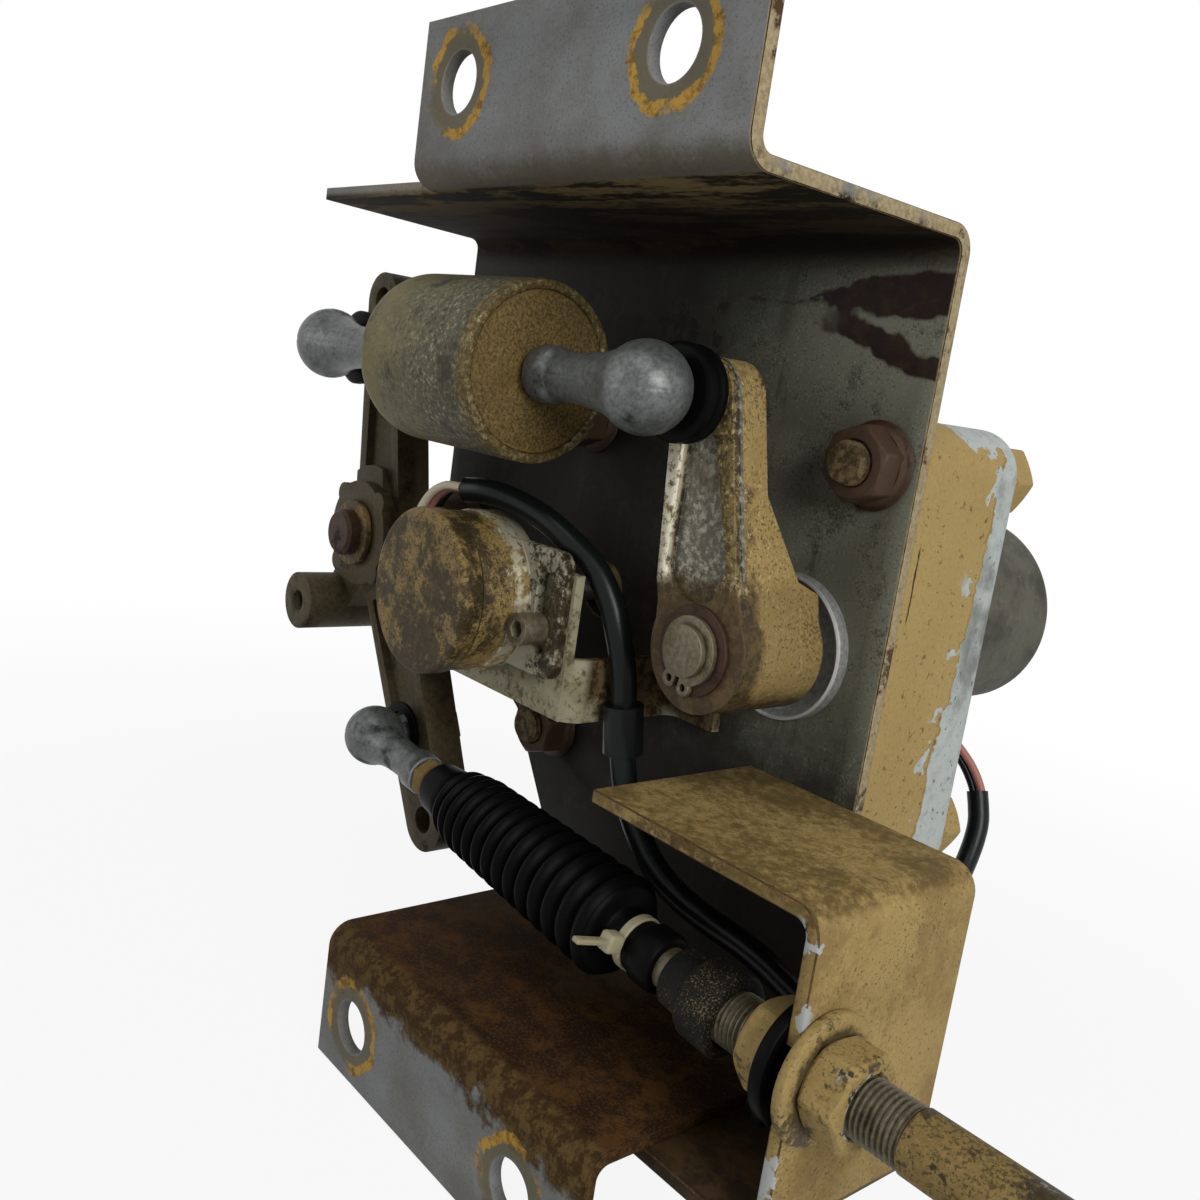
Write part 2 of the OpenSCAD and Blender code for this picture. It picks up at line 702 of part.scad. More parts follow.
module shaft_bush() color([0.62, 0.47, 0.25]) {
  difference() {
    union() {
      bar_y(shaft_at, web_front - 1, case_inside + 1, shaft_d + 8 - 2 * run_gap);
      bar_y(shaft_at, web_front - 1, web_back - 0.2, shaft_d + 11.4);
    }
    bar_y(shaft_at, web_front - 2, case_inside + 2, shaft_d + 2 * run_gap);
  }
}

module shaft_seal() color([0.72, 0.72, 0.70]) {
  turn_on_y(shaft_at) translate([0, 0, web_front]) mirror([0, 0, 1]) rotate_extrude() polygon([
    [shaft_d / 2 + 0.4, 1.2], [shaft_d / 2 + 6, 1.2], [shaft_d / 2 + 6, 0], [shaft_d / 2 + 12, 0],
    [shaft_d / 2 + 12, 2.2], [shaft_d / 2 + 11, 3], [shaft_d / 2 + 9.5, 3], [shaft_d / 2 + 8, 2.2],
    [shaft_d / 2 + 3, 2.6], [shaft_d / 2 + 0.4, 3.4]
  ]);
}

// Drive lever

module drive_lever() color([0.62, 0.55, 0.40]) {
  top = [0, lever_arm];
  hub_r = drive_hub_d / 2;
  depth = drive_hub_back - lever_y;
  difference() {
    translate([shaft_x, 0, shaft_z]) rotate([0, -lever_lean, 0]) difference() {
      union() {
        bar_y([0, 0], drive_hub_front, drive_hub_back, drive_hub_d);
        intersection() {
          along_y(lever_y, drive_hub_back) tapered_arm([0, 0], drive_hub_d - 2, top, drive_eye_d);
          along_x(-hub_r, hub_r) polygon([
            [drive_hub_front, -hub_r], [drive_hub_front, shaft_washer_d / 2 + seat_gap],
            [lever_y, 1.1 * hub_r],
            [lever_y, lever_arm + drive_eye_d], [arm_back, lever_arm + drive_eye_d],
            [arm_back, 0.62 * lever_arm], [lever_y + 0.75 * depth, 1.1 * hub_r],
            [drive_hub_back, 0.9 * hub_r], [drive_hub_back, -hub_r]
          ]);
        }
      }
      along_y(lever_y - 1, lever_y + channel_t) tapered_arm(
        [0, 1.35 * hub_r], drive_hub_d - 4.4 - 2 * rim_w,
        [0, lever_arm - drive_eye_d / 2 - rim_w], drive_eye_d - 1.4 - 2 * rim_w);
    }
    bar_y(shaft_at, lever_y - 1, drive_hub_back + 1, shaft_d + 2 * run_gap);
    bar_y(drive_ball, lever_y - 1, arm_back + 1, stud_d + 2 * run_gap);
  }
}

module shaft_washer() color([0.30, 0.20, 0.15]) {
  difference() {
    bar_y(shaft_at, drive_hub_front - washer_t, drive_hub_front, shaft_washer_d);
    bar_y(shaft_at, drive_hub_front - 3, drive_hub_front + 1, shaft_d + 2 * run_gap);
  }
}

module shaft_circlip() color([0.38, 0.34, 0.30]) {
  gap_at = -105;
  ear = shaft_d / 2 + 2.6;
  y1 = drive_hub_front - washer_t - run_gap;
  y0 = y1 - circlip_t + 2 * run_gap;
  along_y(y0, y1) translate(shaft_at) difference() {
    union() {
      circle(d = shaft_d + 4);
      for (s = [-1, 1]) translate(polar(ear, gap_at + 16 * s)) circle(2);
    }
    circle(d = shaft_d - 1 + 2 * run_gap);
    polygon([[0, 0], polar(2 * shaft_d, gap_at - 5), polar(2 * shaft_d, gap_at + 5)]);
    for (s = [-1, 1]) translate(polar(ear, gap_at + 16 * s)) circle(0.9);
  }
}

module drive_ball_stud() color([0.60, 0.58, 0.54]) ball_stud(drive_ball, ball_y, ball_d);

module drive_stud_nut() color([0.62, 0.55, 0.42]) stud_nut(drive_ball);

// Spring link

capsule_right = drive_ball[0] - capsule_gap;
capsule_left = relay_ball[0] + socket_len + seat_gap + nut_k + stem_show;
capsule_len = capsule_right - capsule_left;
cap_t = 2;
link_axis = [0, ball_y, drive_ball[1]];
link_mouth_d = ball_d - 1;
rod_collar_x = capsule_left + 0.32 * capsule_len;

module link_capsule() color([0.52, 0.50, 0.38]) {
  r = capsule_d / 2;
  shoulder = 7;
  translate(link_axis + [capsule_left, 0, 0]) turned_on_x() difference() {
    union() {
      translate([0, shoulder]) square([r, capsule_len - shoulder]);
      square([r - shoulder, shoulder]);
      intersection() {
        translate([r - shoulder, shoulder]) circle(shoulder);
        square([r, shoulder]);
      }
    }
    square([stud_d / 2 + run_gap, 2 * shoulder]);
    translate([0, capsule_wall + shoulder / 2]) square([r - shoulder / 2 - capsule_wall, shoulder]);
    translate([0, shoulder + capsule_wall]) square([r - capsule_wall, capsule_len]);
  }
}

module link_cap() color([0.64, 0.54, 0.36]) {
  translate(link_axis + [capsule_right - cap_t - 0.6, 0, 0]) difference() {
    rotate([0, 90, 0]) cylinder(h = cap_t, d = capsule_d - 2 * capsule_wall - 2 * run_gap);
    translate([-1, 0, 0]) rotate([0, 90, 0]) cylinder(h = cap_t + 2, d = stud_d + 2 * run_gap);
  }
}

// Rod in the capsule, with the collar that the spring bears on
module link_rod() color([0.55, 0.55, 0.52]) {
  socket_end = drive_ball[0] - socket_len;
  bar_x(link_axis + [rod_collar_x, 0, 0], socket_end + 9 - rod_collar_x, stud_d);
  bar_x(link_axis + [rod_collar_x, 0, 0], 4, capsule_d - 2 * capsule_wall - 1);
}

// Coil spring between the collar and the cap
module link_spring() color([0.35, 0.34, 0.33]) {
  bite = 0.2;
  x0 = rod_collar_x + 4 - bite + spring_wire / 2;
  x1 = capsule_right - cap_t - 0.6 + bite - spring_wire / 2;
  turns = 5;
  steps = 14;
  mean_r = capsule_d / 2 - capsule_wall - spring_wire;
  swept_tube([for (k = [0 : turns * steps]) link_axis
    + [x0 + (x1 - x0) * k / (turns * steps), mean_r * cos(360 * k / steps), mean_r * sin(360 * k / steps)]],
    spring_wire, 8, [1, 0, 0]);
}

// Threaded stem between the relay socket and the capsule, with its lock nut
module link_stem() color([0.58, 0.56, 0.50]) {
  socket_end = relay_ball[0] + socket_len;
  bar_x(link_axis + [socket_end - 9, 0, 0], capsule_left + 9 - (socket_end - 9), stud_d);
  translate(link_axis + [socket_end + seat_gap, 0, 0]) rotate([0, 90, 0])
    cylinder(h = nut_k, d = 1.6 * stud_d / cos(30), $fn = 6);
}

module drive_socket() color([0.50, 0.53, 0.56])
  translate([drive_ball[0], ball_y, drive_ball[1]]) mirror([1, 0, 0])
    ball_socket(ball_d, link_play, link_mouth_d, socket_len);

module relay_socket() color([0.50, 0.53, 0.56])
  translate([relay_ball[0], ball_y, relay_ball[1]])
    ball_socket(ball_d, link_play, link_mouth_d, socket_len);

module link_boots() color([0.05, 0.05, 0.05]) {
  for (c = [drive_ball, relay_ball])
    translate([c[0], ball_y, c[1]]) socket_boot(socket_d + 1.6, stud_d + 0.8, ball_reach);
}

// Relay lever

module relay_outline(shrink) {
  tapered_arm(pivot_at, relay_hub_d - 4 - 2 * shrink, pivot_at + top_eye_arm * lean, 17 - 2 * shrink);
  tapered_arm(pivot_at, relay_hub_d - 4 - 2 * shrink, pivot_at + tip_eye_arm * cable_dir, 19 - 2 * shrink);
}

module relay_channels() {
  gap = relay_hub_d / 2 + 3;
  top = tapered_ends(lean, gap, lever_arm - 11);
  bottom = tapered_ends(cable_dir, gap, cable_arm - 11);
  tapered_arm(top[0], 23 - 2 * rim_w, top[1], 18.5 - 2 * rim_w);
  tapered_arm(bottom[0], 24 - 2 * rim_w, bottom[1], 21 - 2 * rim_w);
}
function tapered_ends(dir, from, to) = [pivot_at + from * dir, pivot_at + to * dir];

module relay_lever() color([0.40, 0.36, 0.29]) {
  horn_d = 18;
  lobe = relay_hub_d / 2;
  difference() {
    union() {
      along_y(lever_y, arm_back) relay_outline(0);
      bar_y(pivot_at, relay_front, relay_back, relay_hub_d - 3);
      along_y(relay_front, relay_front + 3.4) translate(pivot_at) {
        circle(d = relay_hub_d + 2);
        for (a = [45 : 90 : 315]) translate(polar(lobe, a)) circle(3.4);
      }
      along_y(lever_y - 2, arm_back) tapered_arm(pivot_at, horn_d, horn_at, horn_d - 4);
      bar_y(horn_at, lever_y - 15, arm_back, horn_d);
      along_y(lever_y - 3, lever_y + 1) intersection() {
        relay_outline(4);
        translate(pivot_at) circle(d = relay_hub_d + 12);
      }
    }
    along_y(lever_y - 1, lever_y + channel_t) relay_channels();
    bar_y(pivot_at, relay_front - 1, relay_back + 1, pivot_d + 4);
    bar_y(relay_ball, lever_y - 4, arm_back + 1, stud_d + 2 * run_gap);
    bar_y(cable_ball, lever_y - 4, arm_back + 1, stud_d + 2 * run_gap);
    bar_y(pivot_at + top_eye_arm * lean, lever_y - 1, arm_back + 1, spare_eye_d);
    bar_y(pivot_at + tip_eye_arm * cable_dir, lever_y - 1, arm_back + 1, spare_eye_d);
    bar_y(horn_at, lever_y - 16, arm_back + 1, 6.6);
  }
}

module relay_bush() color([0.62, 0.47, 0.25]) {
  difference() {
    bar_y(pivot_at, relay_front, relay_back, pivot_d + 4 - 2 * run_gap);
    bar_y(pivot_at, relay_front - 1, relay_back + 1, pivot_d + 2 * run_gap);
  }
}

module relay_ball_stud() color([0.60, 0.58, 0.54]) ball_stud(relay_ball, ball_y, ball_d);

module cable_ball_stud() color([0.60, 0.58, 0.54]) ball_stud(cable_ball, cable_y, cable_ball_d);

module relay_stud_nuts() color([0.45, 0.40, 0.32]) {
  stud_nut(relay_ball);
  stud_nut(cable_ball);
}

module pivot_post() color([0.34, 0.20, 0.16]) {
  groove = relay_front - seat_gap - pivot_ring_t;
  difference() {
    union() {
      bar_y(pivot_at, pivot_end + 1, web_front, pivot_d);
      turn_on_y(pivot_at) translate([0, 0, pivot_end]) cylinder(h = 1, d1 = pivot_d - 2, d2 = pivot_d);
      bar_y(pivot_at, relay_back + seat_gap, web_front, pivot_d + 12);
      bar_y(pivot_at, web_front, web_back + 12, pivot_d - 2);
    }
    turn_on_y(pivot_at) translate([0, 0, groove]) difference() {
      cylinder(h = pivot_ring_t, d = pivot_d + 1);
      translate([0, 0, -1]) cylinder(h = pivot_ring_t + 2, d = pivot_d - 2);
    }
  }
}

module pivot_nut() color([0.45, 0.40, 0.32]) {
  difference() {
    hex_y(pivot_at, web_back, web_back + 10, 1.5 * (pivot_d - 2));
    bar_y(pivot_at, web_back - 1, web_back + 11, pivot_d - 2 + 2 * run_gap);
  }
}

module pivot_ring() color([0.45, 0.22, 0.12]) {
  y0 = relay_front - seat_gap - pivot_ring_t + run_gap;
  difference() {
    bar_y(pivot_at, y0, y0 + pivot_ring_t - 2 * run_gap, pivot_d + 6);
    bar_y(pivot_at, y0 - 1, y0 + pivot_ring_t + 1, pivot_d - 2 + 2 * run_gap);
  }
}

// Position sensor

module sensor_bracket() color([0.68, 0.72, 0.74]) {
  t = sensor_sheet_t;
  mid = sensor_bracket_y + t / 2;
  foot = web_front - t / 2;
  difference() {
    union() {
      translate([bracket_left + t, sensor_bracket_y, bracket_bottom])
        cube([bracket_right - bracket_left - 2 * t, t, bracket_top - bracket_bottom]);
      translate([0, 0, bracket_bottom]) linear_extrude(side_h) fold_section([
        [bracket_left - foot_w, foot], [bracket_left + t / 2, foot], [bracket_left + t / 2, mid],
        [bracket_right - t / 2, mid], [bracket_right - t / 2, foot], [bracket_right + foot_w, foot]
      ], t);
    }
    bar_y(sensor_at, sensor_bracket_y - 1, sensor_bracket_y + t + 1, sensor_shaft_d + 8);
    for (c = sensor_screw_places) bar_y(c, sensor_bracket_y - 1, sensor_bracket_y + t + 1, 5 + 2 * run_gap);
    for (c = foot_screws) bar_y(c, web_front - t - 1, web_front + 1, foot_screw_d + 2 * run_gap);
  }
}

screw_drop = -4;
sensor_screw_places = [for (s = [-1, 1]) sensor_at + [s * slot_x, screw_drop]];

module bracket_screws() color([0.45, 0.36, 0.26]) {
  for (c = foot_screws) {
    bar_y(c, web_front - sensor_sheet_t - 1, web_back - 0.4, foot_screw_d);
    hex_y(c, web_front - sensor_sheet_t - 4.2, web_front - sensor_sheet_t, 10);
  }
}

module sensor_body() color([0.60, 0.55, 0.42]) {
  cap_len = 6;
  front = sensor_flange_y - sensor_len + cap_len;
  corner = 4;
  difference() {
    union() {
      bar_y(sensor_at, front, sensor_flange_y + 1, sensor_d - 1);
      bar_y(sensor_at, sensor_flange_y - 5, sensor_flange_y, sensor_d);
      along_y(sensor_flange_y, sensor_flange_y + flange_t) translate(sensor_at) {
        circle(d = sensor_d);
        for (s = [-1, 1]) translate([s * (ear_x - corner), 0]) {
          square([2 * corner, ear_h - 2 * corner], center = true);
          for (z = [-1, 1]) translate([0, z * (ear_h / 2 - corner)]) circle(corner);
        }
        square([2 * (ear_x - corner), ear_h], center = true);
      }
    }
    for (s = [-1, 1]) {
      for (z = [-1, 1]) bar_y(sensor_at + [s * slot_x, z * (slot_len - slot_w) / 2],
        sensor_flange_y - 1, sensor_flange_y + flange_t + 1, slot_w);
      translate([sensor_x + s * slot_x - slot_w / 2, sensor_flange_y - 1, sensor_z - (slot_len - slot_w) / 2])
        cube([slot_w, flange_t + 2, slot_len - slot_w]);
    }
    bar_y(sensor_at, sensor_flange_y - 5, sensor_flange_y + flange_t + 1, sensor_shaft_d + 2 * run_gap);
  }
}

module sensor_cap() color([0.66, 0.55, 0.36]) {
  len = 6 - 0.4;
  edge = 1.2;
  turn_on_y(sensor_at) translate([0, 0, sensor_flange_y - sensor_len]) rotate_extrude() {
    translate([0, edge]) square([sensor_d / 2, len - edge]);
    square([sensor_d / 2 - edge, edge]);
    intersection() {
      translate([sensor_d / 2 - edge, edge]) circle(edge);
      square([sensor_d / 2, edge]);
    }
    square([sensor_d / 2 - 2, len + 0.4]);
  }
}

module sensor_screws() color([0.48, 0.42, 0.30]) {
  head_k = 7;
  for (c = sensor_screw_places) difference() {
    union() {
      bar_y(c, sensor_flange_y - 1, sensor_bracket_y + sensor_sheet_t + 3, 5);
      bar_y(c, sensor_flange_y - head_k, sensor_flange_y, 8);
    }
    hex_y(c, sensor_flange_y - head_k - 1, sensor_flange_y - head_k + 3, 4);
  }
}

// Control cable

cable_mouth_d = cable_ball_d - 0.6;
hub_socket_d = 9;

module cable_hub() color([0.55, 0.48, 0.36]) {
  from = swivel_x - 5;
  thread_end = cable_end_x + 22;
  translate([0, cable_y, cable_z]) turned_on_x() difference() {
    union() {
      translate([0, from]) square([hub_thread_d / 2, thread_end - from]);
      translate([0, thread_end]) square([hub_pipe_d / 2, hub_end_x - thread_end]);
    }
    translate([0, swivel_x]) circle(d = tube_d + 2.6);
    translate([0, from - 1]) square([tube_d / 2 + 0.75, 6]);
    translate([0, swivel_x]) square([rod_d / 2 + 0.5, hub_end_x - swivel_x + 1]);
    translate([0, hub_end_x - 16]) square([hub_socket_d / 2, 17]);
  }
}

module hub_nuts() color([0.64, 0.54, 0.36]) {
  translate([0, cable_y, cable_z]) difference() {
    union() {
      translate([hub_nut_in, 0, 0]) rotate([0, 90, 0]) rotate(30)
        cylinder(h = nut_in_t, d = nut_af / cos(30), $fn = 6);
      translate([cable_end_x + washer_k, 0, 0]) rotate([0, 90, 0]) rotate(30)
        cylinder(h = nut_t, d = nut_af / cos(30), $fn = 6);
    }
    bar_x([hub_nut_in - 1, 0, 0], 60, hub_thread_d + 2 * run_gap);
  }
}

module hub_washer() color([0.66, 0.55, 0.36]) {
  translate([cable_end_x, cable_y, cable_z]) difference() {
    rotate([0, 90, 0]) cylinder(h = washer_k, d = washer_d);
    bar_x([-1, 0, 0], 5, hub_thread_d + 2 * run_gap);
  }
}

module slot_pad() color([0.06, 0.06, 0.06]) {
  translate([cable_end_x - sheet_t - pad_t, cable_y, cable_z]) difference() {
    rotate([0, 90, 0]) cylinder(h = pad_t, d = washer_d - 1);
    bar_x([-1, 0, 0], 5, hub_thread_d + 2 * run_gap);
  }
}

module swivel_tube() color([0.55, 0.52, 0.44]) {
  on_cable() turned_on_x() difference() {
    union() {
      translate([0, tube_from]) square([tube_d / 2, cable_span - tube_from]);
      translate([0, boot_to + boot_neck]) square([tube_d / 2 + 1, sleeve_from - boot_to - boot_neck]);
      intersection() {
        translate([0, cable_span]) circle(d = tube_d + 1.8);
        translate([0, cable_span - tube_d]) square([tube_d, 2 * tube_d]);
      }
    }
    translate([0, tube_from - 1]) square([rod_d / 2 + run_gap, cable_span - tube_from + tube_d]);
  }
}

// Rubber sleeve on the swivel tube, open over the hub's end
module swivel_sleeve() color([0.10, 0.10, 0.10]) {
  hub_room = hub_thread_d / 2 + 1.3;
  outer = hub_room + 1.5;
  front = 1.7;
  on_cable() translate([sleeve_from, 0, 0]) turned_on_x() polygon([
    [tube_d / 2 + run_gap, 0], [outer - 2.2, 0], [outer - 1, 0.8], [outer - 0.6, 4.5], [outer, 6],
    [outer, sleeve_len - 1], [outer - 1, sleeve_len], [hub_room, sleeve_len], [hub_room, front],
    [tube_d / 2 + run_gap, front]
  ]);
}

// Strap round the boot's neck, with its lock and cut tail
module boot_tie() color([0.85, 0.83, 0.74]) {
  r = boot_neck_d / 2 + run_gap;
  on_cable() translate([tie_at, 0, 0]) {
    turned_on_x() translate([r, 0]) square([1.2, tie_w]);
    rotate([-15, 0, 0]) {
      translate([-0.7, -r - 5, -2.2]) cube([tie_w + 1.4, 4.6, 4.4]);
      translate([0.2, -r - 14, -0.6]) cube([tie_w - 0.4, 9.2, 1.2]);
    }
  }
}

module cable_rod() color([0.52, 0.50, 0.46]) {
  on_cable() bar_x([socket_d / 2 + 5, 0, 0], cable_span - 5 - socket_d / 2 - 5, rod_d);
}

module rod_nut() color([0.66, 0.58, 0.42]) {
  on_cable() translate([rod_nut_at, 0, 0]) difference() {
    rotate([0, 90, 0]) cylinder(h = rod_nut_t, d = rod_nut_af / cos(30), $fn = 6);
    bar_x([-1, 0, 0], rod_nut_t + 2, rod_d + 2 * run_gap);
  }
}

module cable_socket() color([0.50, 0.53, 0.56]) {
  len = rod_nut_at - seat_gap;
  on_cable() difference() {
    ball_socket(cable_ball_d, cable_play, cable_mouth_d, len);
    bar_x([socket_d / 2 + 4, 0, 0], len, rod_d + 2 * run_gap);
  }
}

module cable_socket_boot() color([0.05, 0.05, 0.05])
  on_cable() socket_boot(socket_d + 0.8, cable_mouth_d, lever_y - cable_y);

// Distance and radius along the boot's folds, k from 0 to 1
function fold_place(k) = boot_start + (boot_to - boot_start) * (0.76 * k + 0.24 * k * k);
function fold_r(k) = boot_small_d / 2 + (boot_large_d - boot_small_d) / 2 * k;

// Bellows: a cuff on the rod, folds that grow towards the swivel, a flat end and a neck
module cable_boot() color([0.03, 0.03, 0.03]) {
  inner = boot_small_d / 2 - boot_depth - 0.9;
  cuff_r = rod_d / 2 + 3;
  tube_r = tube_d / 2 + run_gap;
  on_cable() turned_on_x() polygon(concat(
    [[rod_d / 2 + run_gap, boot_from], [cuff_r, boot_from], [cuff_r, boot_start - 0.8]],
    [for (i = [0 : boot_folds - 1]) let (r = fold_r((i + 0.5) / boot_folds)) each [
      [r - boot_depth, fold_place((i + 0.02) / boot_folds)],
      [r - 0.35, fold_place((i + 0.32) / boot_folds)],
      [r, fold_place((i + 0.5) / boot_folds)],
      [r - 0.35, fold_place((i + 0.68) / boot_folds)]
    ]],
    [[fold_r(1) - boot_depth, boot_to - 0.6], [fold_r(1) - boot_depth, boot_to], [boot_neck_d / 2, boot_to],
      [boot_neck_d / 2, boot_to + boot_neck], [tube_r, boot_to + boot_neck],
      [tube_r, boot_to - boot_wall], [inner, boot_to - boot_wall],
      [inner, boot_start + boot_wall], [rod_d / 2 + run_gap, boot_start + boot_wall]]
  ));
}

// Leads

wire_rise = [[-19.6, 0], [-22.2, 3.4], [-20.9, 9], [-17.9, 14.4], [-13.4, 18.8], [-8, 22.4], [-3.9, 25.6]];

module sensor_wires() color([0.85, 0.80, 0.70]) {
  for (k = [-1 : 1]) {
    route = [for (i = [0 : len(wire_rise) - 1]) let (f = i / (len(wire_rise) - 1), p = sensor_at + wire_rise[i])
      [p[0], 20 - 3 * k + 0.9 * k * f, p[1] + 0.6 * abs(k) * f]];
    swept_tube(route, wire_d, 8, [0, 1, 0]);
  }
}

module sensor_lead() color([0.04, 0.04, 0.04]) swept_tube(sensor_lead_route, lead_d, 10, [0.2, 1, 0.1]);

module motor_lead() color([0.05, 0.05, 0.05]) swept_tube(motor_lead_route, motor_lead_d, 10, [1, 0, 0.2]);

// Shrunk sleeve over the joint of the sensor lead
module lead_joint() color([0.06, 0.06, 0.06]) {
  p = sensor_lead_route[9];
  q = sensor_lead_route[11];
  way = unit(q - p);
  len = 12.5;
  translate((p + q) / 2 - way * len / 2) rotate([0, acos(way[2]), atan2(way[1], way[0])]) difference() {
    cylinder(h = len, d = lead_d + 3.6);
    translate([0, 0, -1]) cylinder(h = len + 2, d = lead_d - 0.2);
  }
}

module lead_connector() color([0.07, 0.07, 0.07]) {
  rib = 1.2;
  translate(connector_at) {
    translate([0, rib, 0]) cube(connector_size - [0, 2 * rib, 0]);
    for (x = [3, connector_size[0] - 6]) translate([x, 0, 0]) cube([3, connector_size[1], connector_size[2]]);
  }
}

mounting_bracket();
cable_bracket();
gear_case();
case_plate();
case_bolts();
case_nuts();
motor_can();
motor_rotor();
output_shaft();
sector_gear();
reduction_gear();
sensor_shaft();
shaft_bush();
shaft_seal();
drive_lever();
shaft_washer();
shaft_circlip();
drive_ball_stud();
drive_stud_nut();
link_capsule();
link_cap();
link_rod();
link_spring();
link_stem();
drive_socket();
relay_socket();
link_boots();
relay_lever();
relay_bush();
relay_ball_stud();
cable_ball_stud();
relay_stud_nuts();
pivot_post();
pivot_nut();
pivot_ring();
sensor_bracket();
bracket_screws();
sensor_body();
sensor_cap();
sensor_screws();
cable_hub();
hub_nuts();
hub_washer();
slot_pad();
swivel_tube();
swivel_sleeve();
boot_tie();
cable_rod();
rod_nut();
cable_socket();
cable_socket_boot();
cable_boot();
sensor_wires();
sensor_lead();
lead_joint();
motor_lead();
lead_connector();
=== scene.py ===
# %% [markdown]
# # Engine governor actuator
# A folded bracket carries a geared motor. Its lever works a relay lever through a spring link,
# and the relay lever moves a push-pull cable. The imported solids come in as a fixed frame, so every
# piece below is placed in metres in that frame: X right along the web, Y back, Z up.

# %% Load the frame
import json
from math import cos, degrees, pi, radians, sin, sqrt, tan

import bmesh
import bpy
from mathutils import Matrix, Vector, geometry


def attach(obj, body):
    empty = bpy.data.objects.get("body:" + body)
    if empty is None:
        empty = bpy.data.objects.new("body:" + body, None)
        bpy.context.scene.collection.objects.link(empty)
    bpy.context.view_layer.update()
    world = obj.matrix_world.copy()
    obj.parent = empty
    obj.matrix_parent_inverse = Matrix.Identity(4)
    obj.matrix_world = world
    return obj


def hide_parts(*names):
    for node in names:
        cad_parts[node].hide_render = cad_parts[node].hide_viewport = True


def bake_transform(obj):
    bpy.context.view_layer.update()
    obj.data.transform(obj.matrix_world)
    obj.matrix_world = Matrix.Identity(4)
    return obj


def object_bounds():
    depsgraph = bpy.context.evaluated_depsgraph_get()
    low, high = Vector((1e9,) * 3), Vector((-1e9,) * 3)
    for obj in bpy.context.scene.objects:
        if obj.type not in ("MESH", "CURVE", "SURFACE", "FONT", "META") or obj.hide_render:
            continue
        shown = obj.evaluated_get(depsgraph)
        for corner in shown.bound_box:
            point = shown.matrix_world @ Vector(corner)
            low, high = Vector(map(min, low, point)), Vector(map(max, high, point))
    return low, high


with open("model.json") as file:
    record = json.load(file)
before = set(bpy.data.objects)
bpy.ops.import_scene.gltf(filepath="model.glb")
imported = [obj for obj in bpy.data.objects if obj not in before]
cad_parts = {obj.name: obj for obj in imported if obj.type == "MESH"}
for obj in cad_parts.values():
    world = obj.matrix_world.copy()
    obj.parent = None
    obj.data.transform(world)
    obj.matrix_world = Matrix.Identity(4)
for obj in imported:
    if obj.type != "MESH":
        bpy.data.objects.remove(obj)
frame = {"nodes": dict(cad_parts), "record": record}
cad_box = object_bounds()
nodes = frame["nodes"]
print("nodes", len(nodes), "box", [[round(v, 4) for v in c] for c in cad_box])

# %% [markdown]
# ## Camera
# The photograph was taken close to the object with a wide view and a tilted camera. A camera's
# axes are its right, up and back directions, so they are worked out from two viewing angles and
# the roll, and put straight into the camera's matrix.

# %% Camera
AZIMUTH, ELEVATION, ROLL = radians(48.39), radians(10.31), radians(8.28)
CAMERA_AT = Vector((0.20755, -0.15072, 0.05596))
SENSOR_MM, LENS_MM, NEAREST = 36.0, 34.96, 0.01


def placed(x, y, z, at):
    """A matrix that carries the three axes to three directions, at a point."""
    made = Matrix((x, y, z)).transposed().to_4x4()
    made.translation = at
    return made


back = Vector((sin(AZIMUTH) * cos(ELEVATION), -cos(AZIMUTH) * cos(ELEVATION), sin(ELEVATION)))
level = Vector((cos(AZIMUTH), sin(AZIMUTH), 0))
upright = back.cross(level)
right = level * cos(ROLL) + upright * sin(ROLL)
up = upright * cos(ROLL) - level * sin(ROLL)
camera = bpy.data.objects.new("camera", bpy.data.cameras.new("camera"))
camera.data.sensor_width, camera.data.lens, camera.data.clip_start = SENSOR_MM, LENS_MM, NEAREST
camera.matrix_world = placed(right, up, back, CAMERA_AT)
bpy.context.scene.collection.objects.link(camera)
bpy.context.scene.camera = camera
print("camera at", tuple(round(v, 4) for v in CAMERA_AT), "lens", LENS_MM)

# %% [markdown]
# ## Shader maths
# Worn paint is many masks added and multiplied. One small class wraps a socket, so that a mask can
# be written as an ordinary expression, and one method of it makes every other node.


# %% A socket that takes Python's operators
class Socket:
    """A shader socket on which + - * work, and which can make further nodes."""

    def __init__(self, tree, link=None):
        self.tree, self.link = tree, link

    def node(self, kind, settings=None, inputs=None, out=0):
        made = self.tree.nodes.new("ShaderNode" + kind)
        for name, value in (settings or {}).items():
            setattr(made, name, value)
        self.feed(made, inputs or {})
        return Socket(self.tree, made.outputs[out])

    def feed(self, node, inputs):
        """Puts values or links into a node's sockets."""
        for name, value in inputs.items():
            if isinstance(value, Socket):
                self.tree.links.new(value.link, node.inputs[name])
            else:
                node.inputs[name].default_value = value

    def maths(self, operation, a, b=0.0):
        return self.node("Math", {"operation": operation}, {0: a, 1: b})

    def __add__(self, other): return self.maths("ADD", self, other)
    def __radd__(self, other): return self.maths("ADD", other, self)
    def __sub__(self, other): return self.maths("SUBTRACT", self, other)
    def __rsub__(self, other): return self.maths("SUBTRACT", other, self)
    def __mul__(self, other): return self.maths("MULTIPLY", self, other)
    def __rmul__(self, other): return self.maths("MULTIPLY", other, self)
    def __abs__(self): return self.maths("ABSOLUTE", self)

    def top(self, other): return self.maths("MAXIMUM", self, other)
    def low(self, other): return self.maths("MINIMUM", self, other)


def rise(value, start, end):
    """0 below start and 1 above end, with a soft step between; start may be the larger."""
    if start > end:
        return 1 - rise(value, end, start)
    return value.node("MapRange", {"interpolation_type": "SMOOTHSTEP"},
                      {"Value": value, "From Min": start, "From Max": end})


